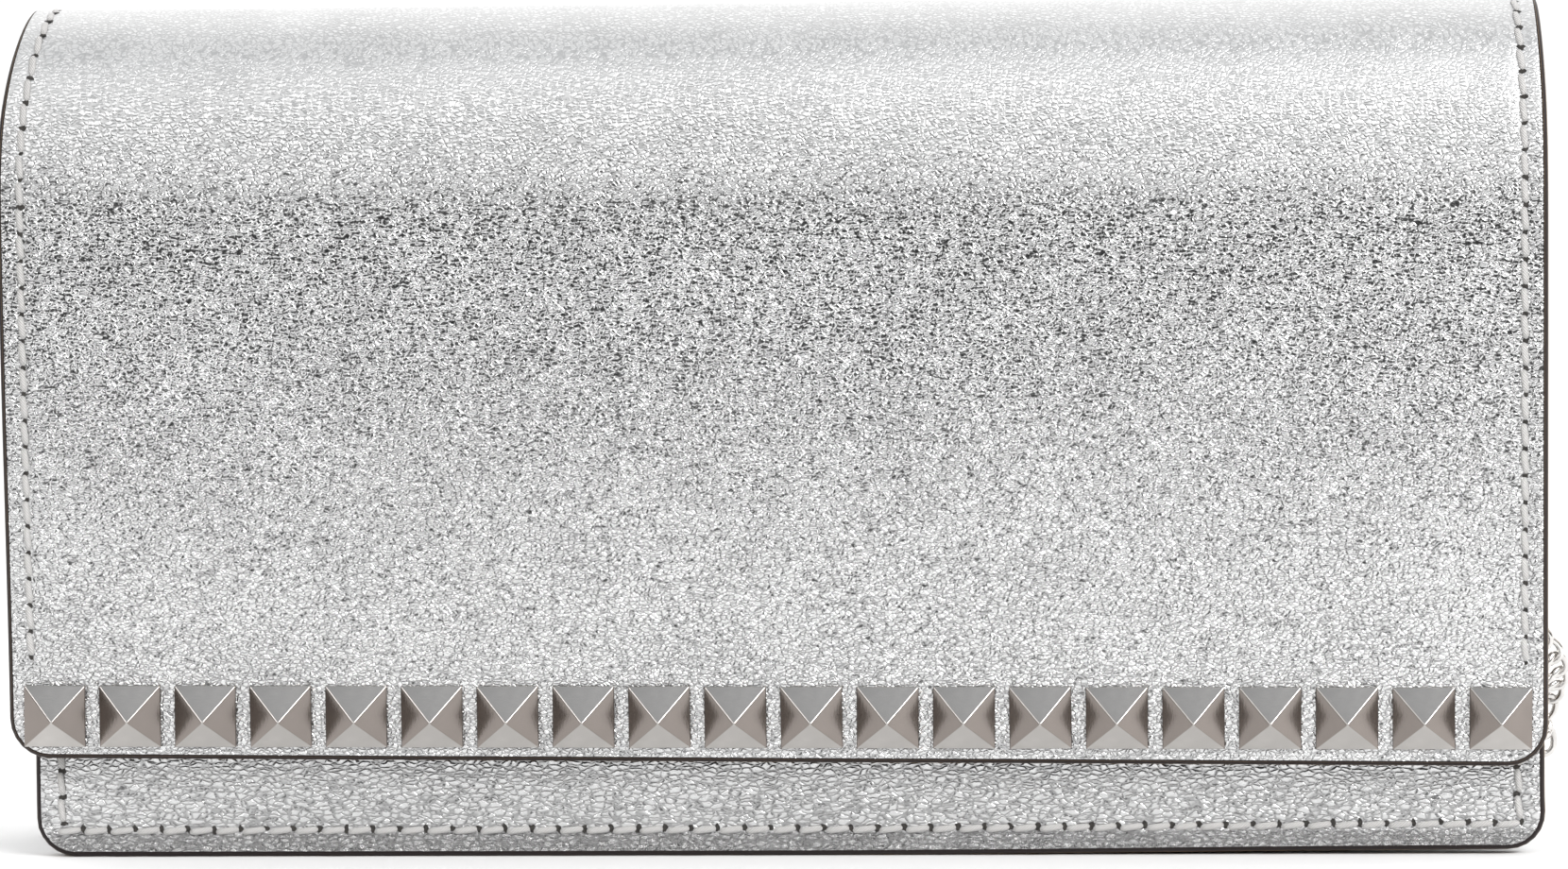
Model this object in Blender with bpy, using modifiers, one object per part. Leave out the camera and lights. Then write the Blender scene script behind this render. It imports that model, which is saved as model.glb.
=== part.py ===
"""A long flap wallet on a detachable chain, standing upright on its lower edge.

Frame: metres, +Z up, the front faces -Y, and +X is on the right of someone who faces the front.
The origin is under the middle of the wallet, on the surface that it stands on.
Every length below is in millimetres; MM turns it into metres where a mesh is made.
"""

import math

import bmesh
import bpy
from mathutils import Matrix, Vector

MM = 0.001

# Driving sizes of the flap and the sewn body.
HEIGHT = 108.0
FLAP_HALF_WIDTH = 98.0
FLAP_BOTTOM = 12.5
FLAP_CORNER = 5.2
BODY_HALF_WIDTH = 96.4
BODY_X = 0.9  # the body is sewn in this far right of the flap's middle
PANEL_CORNER = 5.0
PANEL_TOP_CORNER = 3.0

# Thicknesses, in the order they are stacked from the front to the back.
STUD_HEIGHT = 3.4
STUD_SEAT = 0.2
STUD_BEVEL = 0.22
LEATHER = 1.6
LINING = 0.7
PLY_GAP = 0.1
SNAP_SPACE = 2.4
COMPARTMENT = 6.4
POCKET_DEPTH = 4.0
CARD_TIERS = 4
CARD_LEATHER = 0.6
CARD_STACK = CARD_TIERS * (CARD_LEATHER + PLY_GAP) + PLY_GAP

# Where each layer starts, from the tips of the studs at -DEPTH / 2 to the back at +DEPTH / 2.
WALL = LEATHER + PLY_GAP + LINING
DEPTH = STUD_HEIGHT + STUD_SEAT + 3 * WALL + SNAP_SPACE + 2 * COMPARTMENT + POCKET_DEPTH + CARD_STACK
FLAP_Y = -DEPTH / 2 + STUD_HEIGHT + STUD_SEAT
FRONT_Y = FLAP_Y + WALL + SNAP_SPACE
FRONT_ROOM_Y = FRONT_Y + WALL
POCKET_Y = FRONT_ROOM_Y + COMPARTMENT
BACK_ROOM_Y = POCKET_Y + POCKET_DEPTH
BACK_LINING_Y = BACK_ROOM_Y + COMPARTMENT + CARD_STACK
BACK_Y = DEPTH / 2

# The flap runs over the top in a half circle and down the front.
FLAP_RADIUS = (BACK_Y - FLAP_Y) / 2
FLAP_CENTRE_Y = (BACK_Y + FLAP_Y) / 2
FLAP_SPRING_Z = HEIGHT - FLAP_RADIUS
PANEL_GAP = 0.3  # between the back wall's top and the flap
PANEL_TOP = FLAP_SPRING_Z - PANEL_GAP
ARC_STEPS = 18

# One row of square studs along the lower edge of the flap.
STUDS = 20
STUD_SIDE = 8.0
STUD_PITCH = 9.68
STUD_Z = FLAP_BOTTOM + 5.9
STUD_TIP = 0.25

# The hidden snap, between the flap's lining and the front panel.
SNAP_Z = 32.0
SNAP_RADIUS = 7.0
SNAP_PLATE = 0.6
PLUG_HEIGHT = 1.0
PLUG_TIP = 1.8
PLUG_FOOT = 2.5
SOCKET_HEIGHT = 1.5
SOCKET_MOUTH = 3.2
SOCKET_FLOOR = 0.3
WASHER_RADIUS = 5.5
WASHER_THICK = 0.5
WASHER_RECESS = 0.8
WASHER_SPARE = 0.5
WASHER_BACK = 0.1

# The gusset is one strip: down the left, along the base and up the right.
GUSSET = 1.2
SEAM = 4.0
GUSSET_TOP = 91.0
PINCH = 8.0
PINCH_START = 12.0
PINCH_FULL = 35.0
PINCH_FLAT = 6.0
WEB_X = BODY_HALF_WIDTH - SEAM
GUSSET_FRONT_Y = FRONT_ROOM_Y + PLY_GAP + GUSSET / 2
GUSSET_BACK_Y = BACK_LINING_Y - PLY_GAP - GUSSET / 2
GUSSET_MID_Y = (GUSSET_FRONT_Y + GUSSET_BACK_Y) / 2

# The card pockets step down from the back towards the middle.
TIER_TOP = 84.0
TIER_STEP = 8.0
TIER_BOTTOM = 14.0
TIER_HALF_WIDTH = 82.0

# The zipped coin pocket between the two compartments.
POCKET_WALL = 0.8
POCKET_HALF_WIDTH = WEB_X - PINCH - GUSSET / 2 - 0.4
POCKET_BOTTOM = 22.0
POCKET_TOP = 82.0
ZIP_Y = POCKET_Y + POCKET_DEPTH / 2
TAPE_THICK = 0.5
TAPE_BOTTOM = 76.0
TAPE_TOP = 86.0
TAPE_HALF_LENGTH = 80.0
TEETH_HALF_LENGTH = 74.0
TEETH_BOTTOM = TAPE_TOP + 0.3
TEETH_HEIGHT = 1.6
TEETH_HALF_WIDTH = 1.7
RAIL_WIDTH = 1.1
TOOTH_REACH = 1.1
TOOTH_WIDTH = 0.9
TOOTH_PITCH = 2.4
TOOTH_MARGIN = 0.6
STOP_GAP = 0.4
STOP_LENGTH = 2.2
STOP_HALF_WIDTH = 1.9

# The zip's slider and pull, about the pivot that the pull turns on.
SLIDER_X = 68.0
SLIDER_LENGTH = 8.6
PIVOT_Z = 89.9
SLIDER_HALF_WIDTH = 3.2
SLIDER_TOP = -0.6
SLIDER_FOOT = -4.9
SLIDER_ROOF = 1.0
SLIDER_SIDE = 1.1
SLIDER_LIP = 0.9
TAPE_SLOT = 1.45  # half of the slot that the tapes run in
ARCH_HALF_LENGTH = 3.2
ARCH_FOOT = -1.0
ARCH_TOP = 1.6
ARCH_THICK = 0.8
ARCH_WIDTH = 1.6
ARCH_CHAMFER = 0.7
ARCH_INNER_CHAMFER = 0.2
PULL_THICK = 0.8
PULL_BAR = 0.4
PULL_NECK = 2.2
PULL_LENGTH = 10.6
PULL_RADIUS = 2.7
PULL_EYE_LENGTH = 4.0
PULL_EYE_HALF = 1.15

# The leather tabs, rings and clasps that the chain hangs from, in the folds of the gusset.
TAB_PLY = 1.1
TAB_WIDTH = 7.4
TAB_TOP = 90.0
TAB_GAP = 0.2  # between the strap's two plies
TAB_NECK = 5.0
RING_WIRE = 1.8
RING_HALF_WIDTH = 5.1
RING_DROP = 9.6
RING_Z = 79.0
RING_BEND = 1.4
LOOP_RADIUS = 2.3
LOOP_X = WEB_X - PINCH + GUSSET / 2 + 0.3 + LOOP_RADIUS
CLAW_INNER = 3.4
CLAW_OUTER = 5.0
CLAW_THICK = 2.6
NOSE_OUTER = 25  # where the hook's nose ends, in degrees round its middle
NOSE_INNER = 40  # cut back on the inside, so that the gate's tip swings past it
CLAW_X = WEB_X - PINCH + GUSSET / 2 + 0.8 + CLAW_OUTER
RING_TILT = math.asin((CLAW_X - LOOP_X) / RING_DROP)
CLAW_Z = RING_Z - RING_DROP * math.cos(RING_TILT) - (CLAW_INNER - RING_WIRE / 2 - 0.4)
EYE_DROP = 12.5
EYE_RADIUS = 2.3
EYE_HOLE = 1.1
SHANK_LEFT = [(-2.4, -6.6), (-2.0, -9.6)]  # (x, z) from the hook's middle, going down
SHANK_RIGHT = [(2.0, -9.6), (2.6, -7.2)]  # and going up
GATE_PIVOT = Vector((3.2, -4.3))
GATE_THICK = 1.8
GATE_FOOT = 0.9
GATE_SPARE = 0.1
GATE_THUMB = [(5.2, -5.4), (5.9, -5.0), (5.8, -4.4), (4.3, -2.7)]  # the lever, from below

# The chain: an envelope tube along each free stretch, and a tied hank behind the wallet.
CHAIN = 4.2
FLOOR_Z = CHAIN / 2 + 0.2
CHAIN_TOP = CLAW_Z - EYE_DROP - EYE_RADIUS - 0.3
HANK_Y = 39.6
HANK_RUN = 45.0
HANK_LOOP = 12.6
HANK_WAIST = 4.0
HANK_TURNS = 3
HANK_BOTTOM = 0.9
HANK_SPARE = 0.1
TIE_WIDTH = 7.0
TIE_THICK = 0.6
TIE_SPARE = 0.9
TIE_LIFT = 0.05  # off the floor
PATH_STEP = 5.25
HANK_HEIGHT = (HANK_TURNS + 1) * CHAIN + 2 * HANK_SPARE

# The route from the clasp's eye, out of the fold, round the back edge and down to the hank.
# It is in the body's own X, so the left side is its mirror image as far as the floor.
SIDE_ROUTE = [
    (CLAW_X, GUSSET_MID_Y, CHAIN_TOP),
    (90.9, 4.3, 47.0),
    (91.5, 5.0, 41.0),
    (93.0, 6.4, 35.0),
    (95.6, 8.4, 27.4),
    (98.3, 11.0, 23.6),
    (99.3, 14.2, 20.4),
    (98.6, 17.3, 17.6),
    (97.6, 19.4, 15.2),
    (98.3, 20.9, 12.0),
    (96.6, 22.3, 8.4),
    (92.4, 23.8, 5.2),
    (86.6, 25.2, 3.4),
]
RIGHT_FLOOR = [
    (79.5, 26.3, FLOOR_Z),
    (72.0, 26.9, FLOOR_Z),
    (64.5, 27.1, FLOOR_Z + 0.2),
    (57.0, 27.0, FLOOR_Z + 0.6),
]
LEFT_FLOOR = [
    (79.5, 26.3, FLOOR_Z),
    (72.5, 26.8, FLOOR_Z + 1.3),
    (67.0, 27.0, FLOOR_Z + 4.3),
    (62.0, 27.0, FLOOR_Z + 8.2),
    (57.0, 27.0, FLOOR_Z + 11.2),
]

UPRIGHT = Matrix.Rotation(math.radians(90), 4, "X")
SIDEWAYS = Matrix(((0, 0, 1, 0), (1, 0, 0, 0), (0, 1, 0, 0), (0, 0, 0, 1)))
FLAT = Matrix.Identity(4)


def clear_scene():
    for item in list(bpy.data.objects):
        bpy.data.objects.remove(item)


def new_collection(name):
    collection = bpy.data.collections.new(name)
    bpy.context.scene.collection.children.link(collection)
    return collection


def new_material(name, colour, roughness, metallic):
    made = bpy.data.materials.new(name)
    made.use_nodes = True
    shader = made.node_tree.nodes["Principled BSDF"]
    shader.inputs["Base Color"].default_value = (*colour, 1.0)
    shader.inputs["Roughness"].default_value = roughness
    shader.inputs["Metallic"].default_value = metallic
    made.diffuse_color = (*colour, 1.0)
    return made


clear_scene()
PARTS = new_collection("chain_wallet")
CUTTERS = new_collection("cutters")

SILVER_LEATHER = ("silver_leather", (0.66, 0.66, 0.67), 0.42, 0.6)
LINING_LEATHER = ("lining_leather", (0.10, 0.09, 0.09), 0.7, 0.0)
SATIN_METAL = ("satin_metal", (0.56, 0.55, 0.53), 0.3, 1.0)
CHAIN_METAL = ("chain_metal", (0.74, 0.70, 0.62), 0.22, 1.0)
ZIP_CLOTH = ("zip_cloth", (0.12, 0.12, 0.13), 0.9, 0.0)


def finish(name, made, look, collection=None):
    """Name the object, give it its own material and put it in a collection."""
    made.name = name
    label, colour, roughness, metallic = look
    made.data.materials.clear()
    made.data.materials.append(new_material(f"{label}_{name}", colour, roughness, metallic))
    (collection or PARTS).objects.link(made)
    return made


def hinge_empty(name, at):
    """An empty on a joint's axis, which carries the pieces that move with the joint."""
    empty = bpy.data.objects.new(name, None)
    empty.location = Vector(at) * MM
    PARTS.objects.link(empty)
    return empty


def hold(piece, parent):
    """Parent a piece and leave it where it is."""
    bpy.context.view_layer.update()
    piece.parent = parent
    piece.matrix_parent_inverse = parent.matrix_world.inverted()
    return piece


def arc(centre, radius, start, end, steps):
    """Points round a centre, from one angle in degrees to another."""
    angles = [math.radians(start + (end - start) * i / steps) for i in range(steps + 1)]
    return [(centre[0] + radius * math.cos(a), centre[1] + radius * math.sin(a)) for a in angles]


def rounded_box(low, high, radii, steps=6):
    """A rectangle's outline with its corner radii given from the lower left, anticlockwise."""
    (x0, y0), (x1, y1) = low, high
    a, b, c, d = radii
    return (
        arc((x0 + a, y0 + a), a, 180, 270, steps)
        + arc((x1 - b, y0 + b), b, 270, 360, steps)
        + arc((x1 - c, y1 - c), c, 0, 90, steps)
        + arc((x0 + d, y1 - d), d, 90, 180, steps)
    )


def solid_outline(name, loops, thickness, turn, at, look):
    """Flat closed outlines, extruded evenly to both sides of their plane."""
    curve = bpy.data.curves.new(name, "CURVE")
    curve.dimensions = "2D"
    curve.fill_mode = "BOTH"
    curve.extrude = thickness * MM / 2
    for loop in loops:
        spline = curve.splines.new("POLY")
        spline.points.add(len(loop) - 1)
        for point, (u, v) in zip(spline.points, loop):
            point.co = (u * MM, v * MM, 0, 1)
        spline.use_cyclic_u = True
    made = bpy.data.objects.new(name, curve)
    made.matrix_world = Matrix.Translation(Vector(at) * MM) @ turn
    return finish(name, made, look)


def as_mesh(curve_object):
    """The same piece as a welded mesh, ready for a Boolean."""
    bpy.context.view_layer.update()
    evaluated = curve_object.evaluated_get(bpy.context.evaluated_depsgraph_get())
    mesh = bpy.data.meshes.new_from_object(evaluated)
    bm = bmesh.new()
    bm.from_mesh(mesh)
    bmesh.ops.remove_doubles(bm, verts=bm.verts, dist=1e-6)
    bm.to_mesh(mesh)
    bm.free()
    name = curve_object.name
    made = bpy.data.objects.new(name, mesh)
    made.matrix_world = curve_object.matrix_world
    bpy.data.objects.remove(curve_object)
    PARTS.objects.link(made)
    made.name = name
    return made


def wire(name, points, diameter, closed, look):
    """A round wire through points, with filled ends unless it closes on itself."""
    curve = bpy.data.curves.new(name, "CURVE")
    curve.dimensions = "3D"
    curve.bevel_depth = diameter * MM / 2
    curve.bevel_resolution = 2
    curve.use_fill_caps = not closed
    spline = curve.splines.new("POLY")
    spline.points.add(len(points) - 1)
    for point, place in zip(spline.points, points):
        point.co = (*(Vector(place) * MM), 1)
    spline.use_cyclic_u = closed
    spline.use_smooth = True
    return finish(name, bpy.data.objects.new(name, curve), look)


def block(name, low, high, look):
    """A plain box between two corners."""
    low, high = Vector(low) * MM, Vector(high) * MM
    mesh = bpy.data.meshes.new(name)
    bm = bmesh.new()
    bmesh.ops.create_cube(bm, size=1.0)
    bmesh.ops.scale(bm, verts=bm.verts, vec=high - low)
    bm.to_mesh(mesh)
    bm.free()
    made = bpy.data.objects.new(name, mesh)
    made.location = (low + high) / 2
    return finish(name, made, look)


def turned(name, profile, turn, at, look, collection=None, steps=28):
    """A profile of (radius, height) spun round its own Z by a Screw modifier."""
    mesh = bpy.data.meshes.new(name)
    bm = bmesh.new()
    corners = [bm.verts.new((radius * MM, 0, height * MM)) for radius, height in profile]
    for first, second in zip(corners, corners[1:]):
        bm.edges.new((first, second))
    bm.to_mesh(mesh)
    bm.free()
    made = bpy.data.objects.new(name, mesh)
    made.matrix_world = Matrix.Translation(Vector(at) * MM) @ turn
    spin = made.modifiers.new("spin", "SCREW")
    spin.steps = steps
    spin.render_steps = steps
    spin.use_merge_vertices = True
    spin.merge_threshold = 1e-5
    return finish(name, made, look, collection)


def lofted_sheet(name, rows, thickness, offset, look):
    """A sheet lofted through rows of points, thickened by Solidify."""
    mesh = bpy.data.meshes.new(name)
    bm = bmesh.new()
    grid = [[bm.verts.new(Vector(place) * MM) for place in row] for row in rows]
    for upper, lower in zip(grid, grid[1:]):
        for i in range(len(upper) - 1):
            bm.faces.new((upper[i], lower[i], lower[i + 1], upper[i + 1]))
    bm.to_mesh(mesh)
    bm.free()
    made = bpy.data.objects.new(name, mesh)
    shell = made.modifiers.new("shell", "SOLIDIFY")
    shell.thickness = thickness * MM
    shell.offset = offset
    shell.use_even_offset = True
    return finish(name, made, look)


def cut(piece, cutter, operation="DIFFERENCE"):
    boolean = piece.modifiers.new(operation.lower(), "BOOLEAN")
    boolean.operation = operation
    boolean.object = cutter
    cutter.hide_render = True
    cutter.display_type = "WIRE"


def ease(t):
    """A smooth step from 0 to 1."""
    t = min(max(t, 0.0), 1.0)
    return t * t * (3 - 2 * t)


def recess_for_washer(piece, y_low, y_high):
    """Cut the round pocket that a snap's washer lies in."""
    depth = y_high - y_low
    radius = WASHER_RADIUS + WASHER_SPARE
    profile = [(0, depth), (radius, depth), (radius, 0), (0, 0)]
    turn = Matrix.Rotation(math.radians(-90), 4, "X")
    name = f"{piece.name}_recess"
    cut(piece, turned(name, profile, turn, (0, y_low, SNAP_Z), SATIN_METAL, CUTTERS))


def flap_rows(inset):
    """Rows across the flap at a depth below its outer face, from the back hinge to the lower edge."""
    radius = FLAP_RADIUS - inset
    path = arc((FLAP_CENTRE_Y, FLAP_SPRING_Z), radius, 0, 180, ARC_STEPS)
    path += [(FLAP_Y + inset, FLAP_BOTTOM + FLAP_CORNER)]
    corner = arc((0, FLAP_BOTTOM + FLAP_CORNER), FLAP_CORNER, 0, -90, 6)[1:]
    path += [(FLAP_Y + inset, z) for _, z in corner]
    narrower = [0] * (ARC_STEPS + 2) + [FLAP_CORNER - reach for reach, _ in corner]
    rows = []
    for (y, z), less in zip(path, narrower):
        flare = min(1.0, (FLAP_SPRING_Z + radius - z) / radius) if y < FLAP_CENTRE_Y else 0.0
        middle = BODY_X * (1 - flare)
        half = BODY_HALF_WIDTH + (FLAP_HALF_WIDTH - BODY_HALF_WIDTH) * flare - less
        rows.append([(middle - half, y, z), (middle + half, y, z)])
    return rows


def make_flap():
    hinge = hinge_empty("flap_hinge", (0, BACK_Y, FLAP_SPRING_Z - PANEL_GAP / 2))
    leather = lofted_sheet("flap", flap_rows(0), LEATHER, -1, SILVER_LEATHER)
    inner = FLAP_Y + LEATHER
    recess_for_washer(leather, inner - WASHER_RECESS, inner + PLY_GAP / 2)
    lining = lofted_sheet("flap_lining", flap_rows(LEATHER + PLY_GAP), LINING, -1, LINING_LEATHER)
    for piece in (leather, lining):
        hold(piece, hinge)
    return hinge


def make_studs(hinge):
    """Square pyramids in a row, each on its own two prongs folded behind the leather."""
    mesh = bpy.data.meshes.new("stud")
    bm = bmesh.new()
    half_diagonal = STUD_SIDE * math.sqrt(0.5)
    bmesh.ops.create_cone(
        bm,
        cap_ends=True,
        segments=4,
        radius1=half_diagonal * MM,
        radius2=STUD_TIP * MM,
        depth=STUD_HEIGHT * MM,
        matrix=Matrix.Rotation(math.radians(45), 4, "Z"),
    )
    bm.to_mesh(mesh)
    bm.free()
    for i in range(STUDS):
        name = f"stud_{i + 1:02d}"
        stud = bpy.data.objects.new(name, mesh.copy())
        x = (i - (STUDS - 1) / 2) * STUD_PITCH
        at = Vector((x, FLAP_Y - STUD_SEAT - STUD_HEIGHT / 2, STUD_Z))
        stud.matrix_world = Matrix.Translation(at * MM) @ UPRIGHT
        ridge = stud.modifiers.new("ridge", "BEVEL")
        ridge.width = STUD_BEVEL * MM
        ridge.segments = 1
        hold(finish(name, stud, SATIN_METAL), hinge)


def make_snap(hinge, front):
    """A thin snap: the plug on the flap enters the socket on the front panel."""
    to_back = Matrix.Rotation(math.radians(-90), 4, "X")
    plate_y = FLAP_Y + WALL + PLY_GAP
    plug = [
        (0, SNAP_PLATE + PLUG_HEIGHT),
        (PLUG_TIP, SNAP_PLATE + PLUG_HEIGHT),
        (PLUG_FOOT, SNAP_PLATE),
        (SNAP_RADIUS, SNAP_PLATE),
        (SNAP_RADIUS, 0),
        (0, 0),
    ]
    socket = [
        (0, SOCKET_FLOOR),
        (SOCKET_MOUTH, SOCKET_FLOOR),
        (SOCKET_MOUTH, SOCKET_HEIGHT),
        (SNAP_RADIUS, SOCKET_HEIGHT),
        (SNAP_RADIUS, 0),
        (0, 0),
    ]
    washer = [(0, WASHER_THICK), (WASHER_RADIUS, WASHER_THICK), (WASHER_RADIUS, 0), (0, 0)]
    hold(turned("snap_plug", plug, to_back, (0, plate_y, SNAP_Z), SATIN_METAL), hinge)
    hold(turned("snap_socket", socket, UPRIGHT, (0, FRONT_Y - PLY_GAP, SNAP_Z), SATIN_METAL), front)
    flap_washer_y = FLAP_Y + LEATHER - WASHER_THICK - WASHER_BACK
    hold(turned("snap_plug_washer", washer, to_back, (0, flap_washer_y, SNAP_Z), SATIN_METAL), hinge)
    front_washer_y = FRONT_Y + LEATHER - WASHER_THICK - WASHER_BACK
    hold(turned("snap_socket_washer", washer, to_back, (0, front_washer_y, SNAP_Z), SATIN_METAL), front)


def panel(name, y, thickness, look):
    """One upright ply of the body, with round lower corners."""
    radii = (PANEL_CORNER, PANEL_CORNER, PANEL_TOP_CORNER, PANEL_TOP_CORNER)
    outline = rounded_box((-BODY_HALF_WIDTH, 0), (BODY_HALF_WIDTH, PANEL_TOP), radii)
    return solid_outline(name, [outline], thickness, UPRIGHT, (BODY_X, y + thickness / 2, 0), look)


def make_front():
    """The front wall, which leans forward about its lower edge when the wallet is opened."""
    foot = hinge_empty("front_foot", (0, FRONT_Y, 0))
    leather = as_mesh(panel("front_panel", FRONT_Y, LEATHER, SILVER_LEATHER))
    inner = FRONT_Y + LEATHER
    recess_for_washer(leather, inner - WASHER_RECESS, inner + PLY_GAP / 2)
    lining = panel("front_lining", FRONT_Y + LEATHER + PLY_GAP, LINING, LINING_LEATHER)
    for piece in (leather, lining):
        hold(piece, foot)
    return foot


def make_back():
    panel("back_panel", BACK_Y - LEATHER, LEATHER, SILVER_LEATHER)
    panel("back_lining", BACK_LINING_Y, LINING, LINING_LEATHER)


def gusset_row(x, z, out_x, out_z):
    """The strip's section at one place on the U: two sewn flanges with a folded web between them."""
    pinch = PINCH * ease((z - PINCH_START) / (PINCH_FULL - PINCH_START))
    section = [
        (SEAM, GUSSET_FRONT_Y),
        (0, GUSSET_FRONT_Y),
        (-pinch, GUSSET_MID_Y - PINCH_FLAT),
        (-pinch, GUSSET_MID_Y + PINCH_FLAT),
        (0, GUSSET_BACK_Y),
        (SEAM, GUSSET_BACK_Y),
    ]
    return [(BODY_X + x + reach * out_x, y, z + reach * out_z) for reach, y in section]


def make_gusset():
    corner = PANEL_CORNER - SEAM
    side = [GUSSET_TOP] + [PINCH_FULL - i * (PINCH_FULL - PINCH_START) / 5 for i in range(6)]
    quarter = arc((corner - WEB_X, SEAM + corner), corner, 180, 270, 5)
    turns = arc((0, 0), 1, 180, 270, 5)
    left = [(-WEB_X, z, -1, 0) for z in side] + [(x, z, u, v) for (x, z), (u, v) in zip(quarter, turns)]
    right = [(-x, z, -u, v) for x, z, u, v in reversed(left)]
    rows = [gusset_row(*place) for place in left + right]
    lofted_sheet("gusset", rows, GUSSET, 0, SILVER_LEATHER)


def make_card_tiers():
    """Stepped card pockets in front of the back lining, the lowest one nearest the middle."""
    for i in range(CARD_TIERS):
        back = BACK_LINING_Y - PLY_GAP - i * (CARD_LEATHER + PLY_GAP)
        low = (-TIER_HALF_WIDTH, TIER_BOTTOM)
        high = (TIER_HALF_WIDTH, TIER_TOP - TIER_STEP * i)
        outline = rounded_box(low, high, (2, 2, 1, 1), 3)
        at = (BODY_X, back - CARD_LEATHER / 2, 0)
        solid_outline(f"card_tier_{i + 1}", [outline], CARD_LEATHER, UPRIGHT, at, LINING_LEATHER)


def zip_teeth(side):
    """One row of teeth on its cord, reaching towards the other row; side is -1 front or +1 back."""
    outer = side * TEETH_HALF_WIDTH
    inner = side * (TEETH_HALF_WIDTH - RAIL_WIDTH)
    tip = inner - side * TOOTH_REACH
    first = -TEETH_HALF_LENGTH + TOOTH_MARGIN + (TOOTH_PITCH / 2 if side > 0 else 0)
    outline = [(-TEETH_HALF_LENGTH, outer), (-TEETH_HALF_LENGTH, inner)]
    x = first
    while x + TOOTH_WIDTH < TEETH_HALF_LENGTH:
        outline += [(x, inner), (x, tip), (x + TOOTH_WIDTH, tip), (x + TOOTH_WIDTH, inner)]
        x += TOOTH_PITCH
    outline += [(TEETH_HALF_LENGTH, inner), (TEETH_HALF_LENGTH, outer)]
    return outline


def make_coin_pocket():
    """Two leather walls with a zip along their upper edge."""
    half = POCKET_HALF_WIDTH
    walls = {"pocket_wall_front": POCKET_Y, "pocket_wall_back": BACK_ROOM_Y - POCKET_WALL}
    for name, y in walls.items():
        outline = rounded_box((-half, POCKET_BOTTOM), (half, POCKET_TOP), (3, 3, 1, 1), 3)
        wall_at = (BODY_X, y + POCKET_WALL / 2, 0)
        solid_outline(name, [outline], POCKET_WALL, UPRIGHT, wall_at, LINING_LEATHER)
    for name, side in {"front": -1, "back": 1}.items():
        y = ZIP_Y + side * (POCKET_DEPTH / 2 - POCKET_WALL - PLY_GAP - TAPE_THICK / 2)
        low = (BODY_X - TAPE_HALF_LENGTH, y - TAPE_THICK / 2, TAPE_BOTTOM)
        high = (BODY_X + TAPE_HALF_LENGTH, y + TAPE_THICK / 2, TAPE_TOP)
        block(f"zip_tape_{name}", low, high, ZIP_CLOTH)
        at = (BODY_X, ZIP_Y, TEETH_BOTTOM + TEETH_HEIGHT / 2)
        solid_outline(f"zip_teeth_{name}", [zip_teeth(side)], TEETH_HEIGHT, FLAT, at, SATIN_METAL)
    for name, side in {"left": -1, "right": 1}.items():
        middle = BODY_X + side * (TEETH_HALF_LENGTH + STOP_GAP + STOP_LENGTH / 2)
        low = (middle - STOP_LENGTH / 2, ZIP_Y - STOP_HALF_WIDTH, TEETH_BOTTOM)
        high = (middle + STOP_LENGTH / 2, ZIP_Y + STOP_HALF_WIDTH, TEETH_BOTTOM + TEETH_HEIGHT)
        block(f"zip_stop_{name}", low, high, SATIN_METAL)


def arch_side(half, top, chamfer):
    """One side of the arch's outline, from its left foot over to its right foot."""
    left = [(-half, ARCH_FOOT), (-half, top - chamfer), (chamfer - half, top)]
    return left + [(-x, z) for x, z in reversed(left)]


def make_slider():
    """The slider is a channel round the teeth with an arch on top; the pull's bar lies under the arch."""
    travel = hinge_empty("zip_travel", (BODY_X + SLIDER_X, ZIP_Y, PIVOT_Z))
    inside = SLIDER_HALF_WIDTH - SLIDER_SIDE
    half = [
        (SLIDER_HALF_WIDTH, SLIDER_TOP),
        (SLIDER_HALF_WIDTH, SLIDER_FOOT),
        (TAPE_SLOT, SLIDER_FOOT),
        (TAPE_SLOT, SLIDER_FOOT + SLIDER_LIP),
        (inside, SLIDER_FOOT + SLIDER_LIP),
        (inside, SLIDER_TOP - SLIDER_ROOF),
    ]
    channel = half + [(-y, z) for y, z in reversed(half)]
    at = (BODY_X + SLIDER_X, ZIP_Y, PIVOT_Z)
    slider = as_mesh(solid_outline("zip_slider", [channel], SLIDER_LENGTH, SIDEWAYS, at, SATIN_METAL))
    outer = arch_side(ARCH_HALF_LENGTH, ARCH_TOP, ARCH_CHAMFER)
    inner = arch_side(ARCH_HALF_LENGTH - ARCH_THICK, ARCH_TOP - ARCH_THICK, ARCH_INNER_CHAMFER)
    outline = outer + inner[::-1]
    arch = as_mesh(solid_outline("slider_arch", [outline], ARCH_WIDTH, UPRIGHT, at, SATIN_METAL))
    PARTS.objects.unlink(arch)
    CUTTERS.objects.link(arch)
    cut(slider, arch, "UNION")
    hold(slider, travel)
    pivot = hinge_empty("pull_pivot", at)
    hold(pivot, travel)
    plate = [(PULL_BAR, -PULL_NECK), (PULL_BAR, PULL_NECK)]
    plate += arc((-PULL_LENGTH, 0), PULL_RADIUS, 75, 285, 8)
    near, far, half = -PULL_BAR, -PULL_EYE_LENGTH, PULL_EYE_HALF
    eye = [(near, -half), (near, half), (far, half), (far, -half)]
    hold(solid_outline("zip_pull", [plate, eye], PULL_THICK, FLAT, at, SATIN_METAL), pivot)


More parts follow.
